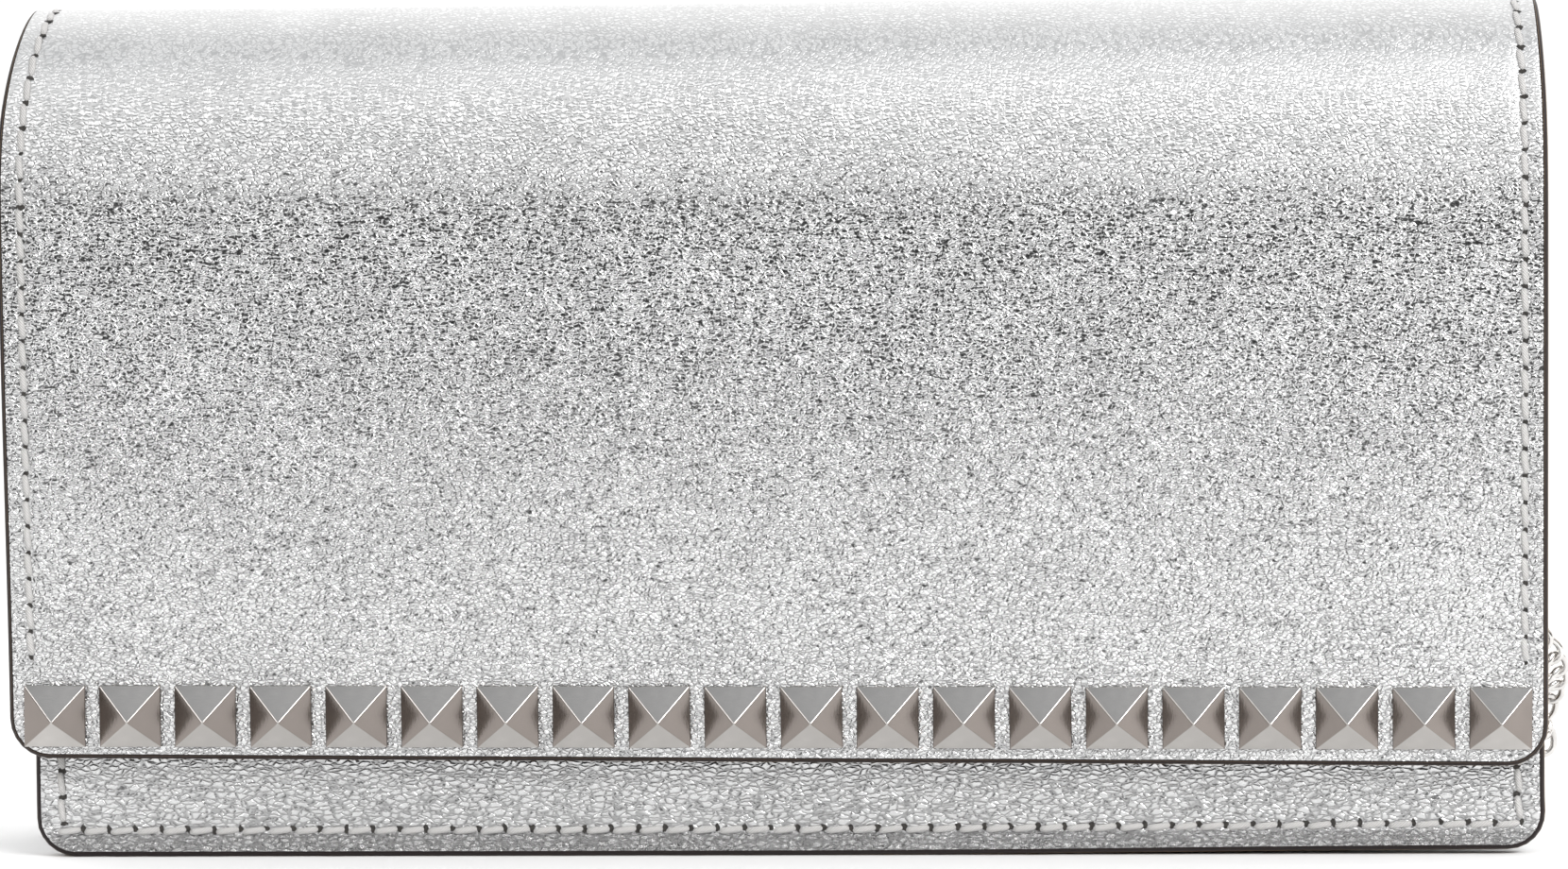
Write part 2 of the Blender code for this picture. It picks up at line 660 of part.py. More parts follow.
def make_ring_tab(name, side):
    """A short leather strap folded round the ring's bar, sewn to the top of the gusset's fold."""
    stem = 2 * TAB_PLY + TAB_GAP - LOOP_RADIUS
    height = TAB_TOP - RING_Z
    outer = [(-LOOP_RADIUS, height)] + arc((0, 0), LOOP_RADIUS, 180, 390, 14)
    outer += [(stem, TAB_NECK), (stem, height)]
    hole = arc((0, 0), LOOP_RADIUS - TAB_PLY, 0, 345, 23)
    loops = [[(side * u, v) for u, v in loop] for loop in (outer, hole)]
    at = (BODY_X + side * LOOP_X, GUSSET_MID_Y, RING_Z)
    solid_outline(f"ring_tab_{name}", loops, TAB_WIDTH, UPRIGHT, at, SILVER_LEATHER)


def make_ring(name, side, pivot):
    """A wire D whose bar turns in the tab, leaning out so that the clasp hangs clear of the gusset."""
    straight = RING_HALF_WIDTH - RING_BEND
    drop = RING_DROP - RING_HALF_WIDTH
    outline = arc((straight, -RING_BEND), RING_BEND, 90, 0, 3)
    outline += arc((0, -drop), RING_HALF_WIDTH, 0, -180, 14)
    outline += arc((-straight, -RING_BEND), RING_BEND, 180, 90, 3)
    lean = math.sin(RING_TILT) * side
    points = [
        (BODY_X + side * LOOP_X - fall * lean, GUSSET_MID_Y + across, RING_Z + fall * math.cos(RING_TILT))
        for across, fall in outline
    ]
    hold(wire(f"d_ring_{name}", points, RING_WIRE, True, SATIN_METAL), pivot)


def claw_outline():
    """The clasp's body: an open hook above, a shank, and a small eye for the chain below."""
    hook = arc((0, 0), CLAW_OUTER, NOSE_OUTER, 235, 20)
    eye = arc((0, -EYE_DROP), EYE_RADIUS, 150, 390, 14)
    inside = arc((0, 0), CLAW_INNER, 298, NOSE_INNER, 22)
    hole = arc((0, -EYE_DROP), EYE_HOLE, 0, 330, 11)
    return hook + SHANK_LEFT + eye + SHANK_RIGHT + inside, hole


def gate_outline():
    """The sprung gate, from its round foot at the pivot to the tip that meets the hook."""
    x, z = GATE_PIVOT
    foot = arc((x, z), GATE_FOOT, 150, 300, 6)
    outside = arc((0, 0), CLAW_OUTER, -30, 20, 6)
    inside = arc((0, 0), CLAW_INNER + GATE_SPARE, 20, -38, 7)
    return [(u - x, v - z) for u, v in foot + GATE_THUMB + outside + inside]


def make_clasp(name, side, pivot):
    at = (BODY_X + side * CLAW_X, GUSSET_MID_Y, CLAW_Z)
    loops = [[(side * u, v) for u, v in loop] for loop in claw_outline()]
    hold(solid_outline(f"clasp_{name}", loops, CLAW_THICK, UPRIGHT, at, SATIN_METAL), pivot)
    x, z = GATE_PIVOT
    gate_at = (at[0] + side * x, at[1], at[2] + z)
    gate_pivot = hinge_empty(f"gate_pivot_{name}", gate_at)
    hold(gate_pivot, pivot)
    outline = [(side * u, v) for u, v in gate_outline()]
    gate = solid_outline(f"clasp_gate_{name}", [outline], GATE_THICK, UPRIGHT, gate_at, SATIN_METAL)
    hold(gate, gate_pivot)


def make_chain_ends():
    for name, side in {"left": -1, "right": 1}.items():
        make_ring_tab(name, side)
        pivot = hinge_empty(f"ring_pivot_{name}", (BODY_X + side * LOOP_X, GUSSET_MID_Y, RING_Z))
        make_ring(name, side, pivot)
        make_clasp(name, side, pivot)


def smooth_path(points, spacing):
    """A Catmull-Rom curve through the points, sampled about every spacing."""
    places = [Vector(p) for p in points]
    padded = [2 * places[0] - places[1]] + places + [2 * places[-1] - places[-2]]
    path = []
    for before, start, end, after in zip(padded, padded[1:], padded[2:], padded[3:]):
        steps = max(1, round((end - start).length / spacing))
        for i in range(steps):
            t = i / steps
            place = 2 * start + (end - before) * t
            place += (2 * before - 5 * start + 4 * end - after) * t**2
            place += (3 * start - before - 3 * end + after) * t**3
            path.append(0.5 * place)
    return path + [places[-1]]


def hank_half_gap(x):
    """Half the distance between the hank's two runs, drawn in where the tie holds them."""
    t = min(abs(x) / HANK_RUN, 1.0)
    return HANK_WAIST + (HANK_LOOP - HANK_WAIST) * (1 - math.cos(math.pi * t)) / 2


def make_chain():
    for name, side, floor in (("right", 1, RIGHT_FLOOR), ("left", -1, LEFT_FLOOR)):
        route = [(BODY_X + side * x, y, z) for x, y, z in SIDE_ROUTE + floor]
        wire(f"chain_{name}", smooth_path(route, PATH_STEP), CHAIN, False, CHAIN_METAL)
    reach = CHAIN / 2 + HANK_SPARE
    steps = 18
    xs = [HANK_RUN * (1 - 2 * i / steps) for i in range(1, steps)]
    far = [(x, hank_half_gap(x) + reach) for x in xs]
    near = [(-x, -y) for x, y in far]
    left = arc((-HANK_RUN, 0), HANK_LOOP + reach, 90, 270, 12)
    right = arc((HANK_RUN, 0), HANK_LOOP + reach, -90, 90, 12)
    at = (BODY_X, HANK_Y, HANK_BOTTOM + HANK_HEIGHT / 2)
    solid_outline("chain_hank", [far + left + near + right], HANK_HEIGHT, FLAT, at, CHAIN_METAL)
    inner = HANK_WAIST + reach + TIE_SPARE
    tie_gap = HANK_BOTTOM - TIE_THICK - TIE_LIFT
    low = HANK_BOTTOM - tie_gap
    high = HANK_BOTTOM + HANK_HEIGHT + tie_gap
    inside = rounded_box((-inner, low), (inner, high), (0.2, 0.2, 1.5, 1.5), 3)
    outer = inner + TIE_THICK
    outside = rounded_box((-outer, low - TIE_THICK), (outer, high + TIE_THICK), (0.8, 0.8, 2.1, 2.1), 3)
    solid_outline("hank_tie", [outside, inside], TIE_WIDTH, SIDEWAYS, (BODY_X, HANK_Y, 0), LINING_LEATHER)


flap_hinge = make_flap()
front_foot = make_front()
make_studs(flap_hinge)
make_snap(flap_hinge, front_foot)
make_back()
make_gusset()
make_card_tiers()
make_coin_pocket()
make_slider()
make_chain_ends()
make_chain()
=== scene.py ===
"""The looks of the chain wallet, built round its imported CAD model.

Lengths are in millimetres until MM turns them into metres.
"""

import math
import random

import bmesh
import bpy
from mathutils import Matrix, Vector, noise


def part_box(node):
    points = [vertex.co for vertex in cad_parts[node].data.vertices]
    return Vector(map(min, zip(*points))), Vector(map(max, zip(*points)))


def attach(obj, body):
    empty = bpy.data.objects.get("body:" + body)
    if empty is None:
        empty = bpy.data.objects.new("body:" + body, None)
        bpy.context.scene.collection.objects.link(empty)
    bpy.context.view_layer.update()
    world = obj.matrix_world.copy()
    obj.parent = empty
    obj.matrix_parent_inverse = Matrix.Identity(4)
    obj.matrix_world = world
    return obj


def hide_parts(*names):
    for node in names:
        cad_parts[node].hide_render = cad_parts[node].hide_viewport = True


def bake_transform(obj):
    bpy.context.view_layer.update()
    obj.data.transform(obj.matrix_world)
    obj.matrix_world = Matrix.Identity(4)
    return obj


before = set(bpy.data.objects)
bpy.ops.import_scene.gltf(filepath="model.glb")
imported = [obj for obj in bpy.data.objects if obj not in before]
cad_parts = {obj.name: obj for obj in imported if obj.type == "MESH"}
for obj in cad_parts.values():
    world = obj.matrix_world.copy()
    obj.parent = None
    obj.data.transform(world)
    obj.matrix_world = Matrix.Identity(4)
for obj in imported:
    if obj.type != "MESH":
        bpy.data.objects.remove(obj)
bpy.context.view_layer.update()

MM = 0.001
SEED = 7
random.seed(SEED)


def box_mm(node):
    low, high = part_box(node)
    return low / MM, high / MM


# Places read from the frame.
FLAP_LOW, FLAP_HIGH = box_mm("flap")
BACK_LOW, BACK_HIGH = box_mm("back_panel")
FRONT_LOW, FRONT_HIGH = box_mm("front_panel")
LINING_HIGH = box_mm("front_lining")[1]
FLAP_Y = FLAP_LOW.y
BACK_Y = FLAP_HIGH.y
ARC_RADIUS = (BACK_Y - FLAP_Y) / 2
ARC_Y = (BACK_Y + FLAP_Y) / 2
SPRING_Z = FLAP_HIGH.z - ARC_RADIUS
BODY_X = (BACK_LOW.x + BACK_HIGH.x) / 2
BODY_HALF = (BACK_HIGH.x - BACK_LOW.x) / 2
FLAP_HALF = (FLAP_HIGH.x - FLAP_LOW.x) / 2
WALL = LINING_HIGH.y - FRONT_LOW.y

# The gusset, as in the CAD model.
GUSSET_LOW, GUSSET_HIGH = box_mm("gusset")
GUSSET = 1.2
SEAM = 4.0
PINCH = 8.0              # how far its middle is folded in at the top
PINCH_START = 12.0
PINCH_FULL = 35.0
PINCH_FLAT = 6.0
WEB_X = BODY_HALF - SEAM
GUSSET_FRONT = GUSSET_LOW.y + GUSSET / 2
GUSSET_BACK = GUSSET_HIGH.y - GUSSET / 2
GUSSET_MID = (GUSSET_FRONT + GUSSET_BACK) / 2
GUSSET_BEAD = 0.1
GUSSET_TURN = 0.6        # the height of the turned edge inside each seam
GUSSET_SHOULDER = 0.35   # the share of the fold that is in the slope next to each wall
GUSSET_EDGE = 0.5        # and how far from the wall that slope begins

# Leather.
BEAD = 0.7               # how far the painted edge stands out of the leather's face
FRONT_BEAD = 0.72
BEAD_STEPS = 8
PEBBLE_SLOPE = 0.25      # the share of a pebble that is the slope round its flat top
FOLD_RISE = (0.93, 1.00)  # where the stretched leather of the fold begins and ends, in the
FOLD_FALL = (1.52, 1.30)  # cover's own 100 mm units
FOLD_CALM = 0.45         # the share of the grain that is lost there
FOLD_ROUGH = 0.22        # and the foil is this much less glossy
FLAP_CORNER = 5.2
PANEL_CORNER = 5.0
PANEL_TOP_CORNER = 3.0
ROW_STEP = 2.0
EDGE_STEP = 0.5
EDGE_BAND = 7.0
ARC_STEPS = 30
WELD = 0.005

# The flap's fullness: it stands proud below the fold and tucks in at the studs.
BULGE = 2.5
BULGE_TOP = 7.0          # the fullness begins this far above where the fold ends
BULGE_Z = 83.0
TUCK = 0.35
CROWN = 0.7              # the fold stands this proud of the CAD's at its top
WAVE_SIZE = 0.028        # per millimetre
WAVE_SQUEEZE = 1.4
WAVE_HEIGHT = 0.22
WAVE_FADE = 20.0         # the waves die away this far from the sides
FRONT_WAVES = 3.0        # where the waves are cut from the noise
BACK_WAVES = 9.0
FLARE_REACH = 1.35       # the flap is at its full width this many fold radii below the top
HINGE_BAND = 7.0
FLAP_DROP = 0.78         # the flap's lower edge hangs this much lower at its right end
DROP_TOP = 60.0          # and the slant has gone this high up
DROP_FULL = 20.0
FRONT_LIFT = 0.55        # the front wall's lower right corner is lifted
FRONT_REACH = 0.45       # and the wall's right side stands further out,
CORNER_REACH = 0.25      # most of all at that corner
CORNER_TOP = 8.0

# The studs are this much wider, each way, than their CAD boxes after bevelling.
STUD_GROWTH = 0.08
STUD_RIDGE = 0.46
STUD_SKIRT = 0.45
STUD_TIP = 0.12          # half the width of the flat at the point
STUD_NOD = 0.5           # the points aim this much down, because the flap leans in at the studs
STUD_DROP = 0.6          # the studs share this much of the flap's slant

# Stitching.
STITCH_PITCH = 3.4
STITCH_WIDTH = 0.86
STITCH_RISE = 0.14
STITCH_SHARE = 0.9        # of the pitch, the rest is the needle hole
STITCH_DEPTH = 0.24
STITCH_SLANT = math.radians(7)
HOLE_RADIUS = 0.56
FLAP_SEAM = 3.0          # in from the leather's edges
FLAP_SEAM_END = 25.6
PANEL_SEAM = 3.4
CRUMPLE_TOP = 0.035      # the leather is crumpled below this, in the sheets' own 100 mm units
CRUMPLE_FULL = 0.029
CRUMPLE_GRAIN = 170.0
CRUMPLE_SHADE = 0.3       # painted shade of the crumples: how much darker it is there
TIER_PITCH = 2.4         # the card pockets' top seams
TIER_SEAM = 1.6
TIER_SEAM_END = 2.0
TIER_SEAM_RISE = 0.02
GROOVE_DEPTH = 0.2
GROOVE_WIDTH = 0.75
CRINKLE = 0.16           # the height of the crinkles outside the front wall's seam
CRINKLE_SIZE = 0.9       # per millimetre
SEAM_SINK = 0.12         # the front wall's thread lies this deep in its groove

# The chain, and the route of its centre line, as in the CAD model.
CHAIN = 4.2
LINK_WIRE = 0.95
LINK_PITCH = 2.9
LINK_LENGTH = LINK_PITCH + 2.1 * LINK_WIRE
LINK_TWIST = 0.42
LINK_LEAN = 0.45         # the share of the twist that tips the whole link over the last one
LYING_TOP = 26.0         # from here down the links turn from the wallet's side to lie flat
LYING_FALL = 20.0
PATH_STEP = 1.4
FLOOR_Z = CHAIN / 2 + 0.2
CLAW_X = 90.8
EYE_Y = 4.2
CHAIN_TOP = 52.749
HANK_Y = 39.6
HANK_RUN = 45.0
HANK_LOOP = 12.6
HANK_WAIST = 4.0
HANK_TURNS = 3
HANK_FIRST_Z = 3.1
HANK_STEPS = 9
SIDE_ROUTE = [
    (CLAW_X, EYE_Y, CHAIN_TOP),
    (90.9, 4.3, 47.0),
    (91.5, 5.0, 41.0),
    (93.0, 6.4, 35.0),
    (95.6, 8.4, 27.4),
    (98.3, 11.0, 23.6),
    (99.3, 14.2, 20.4),
    (98.6, 17.3, 17.6),
    (97.6, 19.4, 15.2),
    (98.3, 20.9, 12.0),
    (96.6, 22.3, 8.4),
    (92.4, 23.8, 5.2),
    (86.6, 25.2, 3.4),
]
RIGHT_FLOOR = [
    (79.5, 26.3, FLOOR_Z),
    (72.0, 26.9, FLOOR_Z),
    (64.5, 27.1, FLOOR_Z + 0.2),
    (57.0, 27.0, FLOOR_Z + 0.6),
]
LEFT_FLOOR = [
    (79.5, 26.3, FLOOR_Z),
    (72.5, 26.8, FLOOR_Z + 1.3),
    (67.0, 27.0, FLOOR_Z + 4.3),
    (62.0, 27.0, FLOOR_Z + 8.2),
    (57.0, 27.0, FLOOR_Z + 11.2),
]

# The camera, from the front, a little above and to the right of the wallet's middle.
CAMERA_AIM = Vector((1.7, -12.85, 54.4))
CAMERA_AT = Vector((55.0, -893.0, 121.0))
CAMERA_LENS = 160.4
CAMERA_ROLL = math.radians(-0.58)

# The studio, in metres.
FLOOR_HALF = 12.0
FLOOR_FRONT = -0.23      # the table's edge in front, where a dark room begins
SKY = 1.5
LIGHT_AIM = Vector((0, 0, 0.05))
STRIPS = {               # place, size and power of a strip light for each upper ridge of the studs
    "right_strip": ((0.73, -0.67, 0.69), (0.75, 0.32), 9.3),
    "left_strip": ((-0.83, -0.585, 0.64), (0.50, 0.13), 1.3),
}
BEHIND = 0.15            # world directions with more Y than this see plain white


# ---------------------------------------------------------------- camera


def make_camera():
    data = bpy.data.cameras.new("camera")
    data.sensor_width = 36.0
    data.lens = CAMERA_LENS
    data.clip_start = 0.05
    data.clip_end = 30.0
    camera = bpy.data.objects.new("camera", data)
    look = (CAMERA_AIM - CAMERA_AT).to_track_quat("-Z", "Y").to_matrix().to_4x4()
    camera.matrix_world = Matrix.Translation(CAMERA_AT * MM) @ look @ Matrix.Rotation(CAMERA_ROLL, 4, "Z")
    bpy.context.scene.collection.objects.link(camera)
    bpy.context.scene.camera = camera


make_camera()


# ---------------------------------------------------------------- materials


class Nodes:
    """A short way to add and join shader nodes."""

    def __init__(self, tree):
        self.tree = tree

    def add(self, kind, **settings):
        node = self.tree.nodes.new(kind)
        for name, value in settings.items():
            setattr(node, name, value)
        return node

    def join(self, source, target):
        self.tree.links.new(source, target)

    def math(self, operation, first, second=None):
        node = self.add("ShaderNodeMath", operation=operation)
        for socket, value in zip(node.inputs, (first, second)):
            if value is None:
                continue
            if isinstance(value, (int, float)):
                socket.default_value = value
            else:
                self.join(value, socket)
        return node.outputs[0]

    def noise(self, where, scale, detail=3.0, roughness=0.5):
        node = self.add("ShaderNodeTexNoise")
        node.inputs["Scale"].default_value = scale
        node.inputs["Detail"].default_value = detail
        node.inputs["Roughness"].default_value = roughness
        self.join(where, node.inputs["Vector"])
        return node

    def smooth(self, value, start, end):
        """0 at start and 1 at end, with a smooth step between."""
        node = self.add("ShaderNodeMapRange", interpolation_type="SMOOTHSTEP")
        node.inputs["From Min"].default_value = start
        node.inputs["From Max"].default_value = end
        self.join(value, node.inputs["Value"])
        return node.outputs["Result"]

    def ramp(self, value, stops):
        node = self.add("ShaderNodeValToRGB")
        ends = node.color_ramp.elements
        while len(ends) < len(stops):
            ends.new(0.5)
        for element, (place, colour) in zip(ends, stops):
            element.position = place
            element.color = (*colour, 1.0)
        self.join(value, node.inputs["Fac"])
        return node.outputs["Color"]

    def bump(self, height, distance, strength=1.0, under=None):
        node = self.add("ShaderNodeBump")
        node.inputs["Distance"].default_value = distance
        node.inputs["Strength"].default_value = strength
        self.join(height, node.inputs["Height"])
        if under is not None:
            self.join(under, node.inputs["Normal"])
        return node.outputs["Normal"]


def new_look(name, metallic, roughness, **constants):
    look = bpy.data.materials.new(name)
    look.use_nodes = True
    shader = look.node_tree.nodes["Principled BSDF"]
    shader.inputs["Metallic"].default_value = metallic
    shader.inputs["Roughness"].default_value = roughness
    for socket, value in constants.items():
        shader.inputs[socket.replace("_", " ")].default_value = value
    return look, Nodes(look.node_tree), shader


def grey(value, warm=0.0):
    return (value * (1 + warm), value, value * (1 - warm))


def leather_look(name, dark, light, metallic, roughness, grain, depth, fine, **options):
    """Grained leather: irregular pebbles, finer creases between them coloured darker (partly the grain's
    own tone, partly painted shade in the creases), and slow changes of sheen.

    grain is the pebbles' number to a unit of the chosen space, depth their height, and fine the
    share of it in the creases. With crumple, the leather is also crumpled at the sheet's lower
    edge and stretched smooth over the fold.
    """
    look, nodes, shader = new_look(name, metallic, roughness)
    place = nodes.add("ShaderNodeTexCoord").outputs[options.get("space", "UV")]
    wander = nodes.noise(place, grain * 0.45, 2.0)
    bent = nodes.add("ShaderNodeMixRGB", blend_type="LINEAR_LIGHT")
    bent.inputs["Fac"].default_value = 0.55 / grain
    nodes.join(place, bent.inputs["Color1"])
    nodes.join(wander.outputs["Color"], bent.inputs["Color2"])
    slant = nodes.add("ShaderNodeMapping")
    slant.inputs["Rotation"].default_value = (0, 0, math.radians(options.get("slant", 24)))
    slant.inputs["Scale"].default_value = options.get("stretch", (0.8, 1.25, 1.0))
    nodes.join(bent.outputs["Color"], slant.inputs["Vector"])
    where = slant.outputs["Vector"]
    pebble = nodes.add("ShaderNodeTexVoronoi", feature="DISTANCE_TO_EDGE")
    pebble.inputs["Scale"].default_value = grain
    nodes.join(where, pebble.inputs["Vector"])
    plateau = nodes.smooth(pebble.outputs["Distance"], 0.0, PEBBLE_SLOPE)
    small = nodes.noise(where, grain * 1.6, 4.0, 0.6).outputs["Fac"]
    height = nodes.math("ADD", plateau, nodes.math("MULTIPLY", small, fine))
    if "crumple" in options:
        parts = nodes.add("ShaderNodeSeparateXYZ")
        nodes.join(place, parts.inputs[0])
        low = nodes.smooth(parts.outputs["Y"], CRUMPLE_TOP, CRUMPLE_FULL)
        folds = nodes.noise(place, CRUMPLE_GRAIN, 3.0, 0.6).outputs["Fac"]
        folds = nodes.math("MULTIPLY", nodes.math("SUBTRACT", folds, 0.5), options["crumple"])
        height = nodes.math("ADD", height, nodes.math("MULTIPLY", folds, low))
        on_fold = nodes.math(
            "MULTIPLY",
            nodes.smooth(parts.outputs["Y"], *FOLD_RISE),
            nodes.smooth(parts.outputs["Y"], *FOLD_FALL),
        )
        kept = nodes.math("SUBTRACT", 1.0, nodes.math("MULTIPLY", on_fold, FOLD_CALM))
        height = nodes.math("MULTIPLY", height, kept)
        plateau = nodes.math("MAXIMUM", plateau, nodes.math("MULTIPLY", on_fold, FOLD_CALM))
        # painted shade: the crumpled band at the sheet's lower edge is coloured darker
        plateau = nodes.math("SUBTRACT", plateau, nodes.math("MULTIPLY", low, CRUMPLE_SHADE))
    nodes.join(nodes.bump(height, depth), shader.inputs["Normal"])
    slow = nodes.noise(place, grain * 0.05, 2.0).outputs["Fac"]
    # painted shade: the creases between the pebbles are coloured darker, on top of the grain's own tone
    tone = nodes.math("ADD", nodes.math("MULTIPLY", plateau, 0.7), nodes.math("MULTIPLY", slow, 0.3))
    nodes.join(nodes.ramp(tone, [(0.1, dark), (0.8, light)]), shader.inputs["Base Color"])
    rough = nodes.math("ADD", nodes.math("MULTIPLY", small, 0.14), roughness - 0.07)
    if "crumple" in options:
        rough = nodes.math("ADD", rough, nodes.math("MULTIPLY", on_fold, FOLD_ROUGH))
    nodes.join(rough, shader.inputs["Roughness"])
    return look


def edge_look():
    """Brown-black edge paint, a little uneven, with a tan band along the middle of the edge."""
    look, nodes, shader = new_look("edge_paint", 0.0, 0.5, Specular_IOR_Level=0.25)
    place = nodes.add("ShaderNodeTexCoord").outputs["UV"]
    across = nodes.add("ShaderNodeSeparateXYZ")
    nodes.join(place, across.inputs[0])
    off_middle = nodes.math("ABSOLUTE", nodes.math("SUBTRACT", across.outputs["Y"], 0.42))
    uneven = nodes.noise(place, 9.0, 3.0).outputs["Fac"]
    tan_band = nodes.math("ADD", off_middle, nodes.math("MULTIPLY", uneven, 0.06))
    colours = [(0.08, (0.30, 0.21, 0.12)), (0.12, (0.016, 0.010, 0.010))]
    nodes.join(nodes.ramp(tan_band, colours), shader.inputs["Base Color"])
    nodes.join(nodes.bump(uneven, 0.08 * MM), shader.inputs["Normal"])
    return look


def metal_look(name, dark, light, roughness, brushed, flank_shade=None):
    """Plated metal: fine brushing, faint smears, uneven polish, and painted shade that darkens and warms
    the steep sides.
    """
    look, nodes, shader = new_look(name, 1.0, roughness)
    coordinates = nodes.add("ShaderNodeTexCoord")
    place = coordinates.outputs["Object"]
    stretch = nodes.add("ShaderNodeMapping")
    stretch.inputs["Scale"].default_value = brushed
    nodes.join(place, stretch.inputs["Vector"])
    lines = nodes.noise(stretch.outputs["Vector"], 900.0, 3.0, 0.6).outputs["Fac"]
    smear = nodes.noise(place, 260.0, 2.0).outputs["Fac"]
    colour = nodes.ramp(smear, [(0.3, dark), (0.7, light)])
    # painted shade: the steep side faces are coloured darker and warmer than the rest
    if flank_shade:
        parts = nodes.add("ShaderNodeSeparateXYZ")
        nodes.join(coordinates.outputs["Normal"], parts.inputs[0])
        flank_shaded = nodes.add("ShaderNodeMixRGB", blend_type="MULTIPLY")
        nodes.join(nodes.smooth(nodes.math("ABSOLUTE", parts.outputs["X"]), 0.2, 0.5), flank_shaded.inputs["Fac"])
        nodes.join(colour, flank_shaded.inputs["Color1"])
        flank_shaded.inputs["Color2"].default_value = (*flank_shade, 1.0)
        colour = flank_shaded.outputs["Color"]
    nodes.join(colour, shader.inputs["Base Color"])
    rough = nodes.math("ADD", nodes.math("MULTIPLY", smear, 0.12), roughness - 0.06)
    nodes.join(rough, shader.inputs["Roughness"])
    nodes.join(nodes.bump(lines, 0.012 * MM, 0.6), shader.inputs["Normal"])
    return look


def thread_look():
    """Pale grey waxed thread with its plies."""
    look, nodes, shader = new_look("thread", 0.15, 0.5, Sheen_Weight=0.3)
    place = nodes.add("ShaderNodeTexCoord").outputs["UV"]
    ply = nodes.add("ShaderNodeTexWave", bands_direction="DIAGONAL")
    ply.inputs["Scale"].default_value = 5.0
    ply.inputs["Distortion"].default_value = 1.2
    nodes.join(place, ply.inputs["Vector"])
    colours = [(0.2, grey(0.42, 0.02)), (0.8, grey(0.68, 0.02))]
    nodes.join(nodes.ramp(ply.outputs["Fac"], colours), shader.inputs["Base Color"])
    nodes.join(nodes.bump(ply.outputs["Fac"], 0.06 * MM), shader.inputs["Normal"])
    return look


def cloth_look():
    """Zip tape: a fine twill."""
    look, nodes, shader = new_look("zip_tape", 0.0, 0.85, Sheen_Weight=0.4)
    place = nodes.add("ShaderNodeTexCoord").outputs["UV"]
    rib = nodes.add("ShaderNodeTexWave", bands_direction="DIAGONAL")
    rib.inputs["Scale"].default_value = 55.0
    rib.inputs["Distortion"].default_value = 0.6
    nodes.join(place, rib.inputs["Vector"])
    colours = [(0.2, grey(0.035)), (0.85, grey(0.10))]
    nodes.join(nodes.ramp(rib.outputs["Fac"], colours), shader.inputs["Base Color"])
    nodes.join(nodes.bump(rib.outputs["Fac"], 0.1 * MM), shader.inputs["Normal"])
    return look


def hole_look():
    """Painted shade: the near-black colour of a needle hole, for the shadow in its recess."""
    look, nodes, shader = new_look("needle_hole", 0.0, 0.9)
    place = nodes.add("ShaderNodeTexCoord").outputs["Object"]
    fibre = nodes.noise(place, 3000.0, 2.0).outputs["Fac"]
    colours = [(0.3, grey(0.012, 0.1)), (0.8, grey(0.06, 0.1))]
    nodes.join(nodes.ramp(fibre, colours), shader.inputs["Base Color"])
    return look


# Dark and light colour, metallic, roughness.
FOIL = (grey(0.40), grey(0.745), 1.0, 0.18)
# painted shade: the flap's foil made darker for the front wall
SHADED_FOIL = (grey(0.36), grey(0.70), 1.0, 0.18)
HIDE = (grey(0.05, 0.05), grey(0.12, 0.05), 0.0, 0.58)
SILVER = leather_look("silver_leather", *FOIL, 172.0, 0.066 * MM, 0.2, crumple=9.0)
CREASED = leather_look(
    "creased_leather",
    *SHADED_FOIL,
    135.0,
    0.07 * MM,
    0.3,
    slant=-12,
    stretch=(0.6, 1.3, 1.0),
    crumple=14.0,
)
LINING = leather_look("lining_leather", *HIDE, 130.0, 0.05 * MM, 0.5)
SILVER_FOLD = leather_look("silver_fold", *FOIL, 1500.0, 0.06 * MM, 0.2, space="Object")
DARK_FOLD = leather_look("dark_fold", *HIDE, 1300.0, 0.05 * MM, 0.5, space="Object")
PAINT = edge_look()
# painted shade: the colour that darkens and warms the studs' steep side faces
SHADED_FLANKS_TINT = (0.50, 0.46, 0.44)
STUD_METAL = metal_look("stud_metal", grey(0.45, 0.04), grey(0.53, 0.04), 0.18, (1, 6, 1), SHADED_FLANKS_TINT)
SATIN = metal_look("satin_metal", grey(0.60, 0.02), grey(0.70, 0.02), 0.26, (1, 1, 5))
PALE = metal_look("chain_metal", grey(0.60, 0.03), grey(0.78, 0.03), 0.16, (1, 1, 1))
THREAD = thread_look()
TAPE = cloth_look()
HOLE = hole_look()


# ---------------------------------------------------------------- meshes


def link_mesh(name, mesh, looks, smooth=True):
    made = bpy.data.objects.new(name, mesh)
    for look in looks:
        mesh.materials.append(look)
    bpy.context.scene.collection.objects.link(made)
    if smooth:
        mesh.shade_smooth()
    return made


def sheet_border(rows, columns):
    """The places round a grid's border, in order."""
    top = [(0, c) for c in range(columns)]
    right = [(r, columns - 1) for r in range(1, rows)]
    bottom = [(rows - 1, c) for c in range(columns - 2, -1, -1)]
    left = [(r, 0) for r in range(rows - 2, 0, -1)]
    return top + right + bottom + left


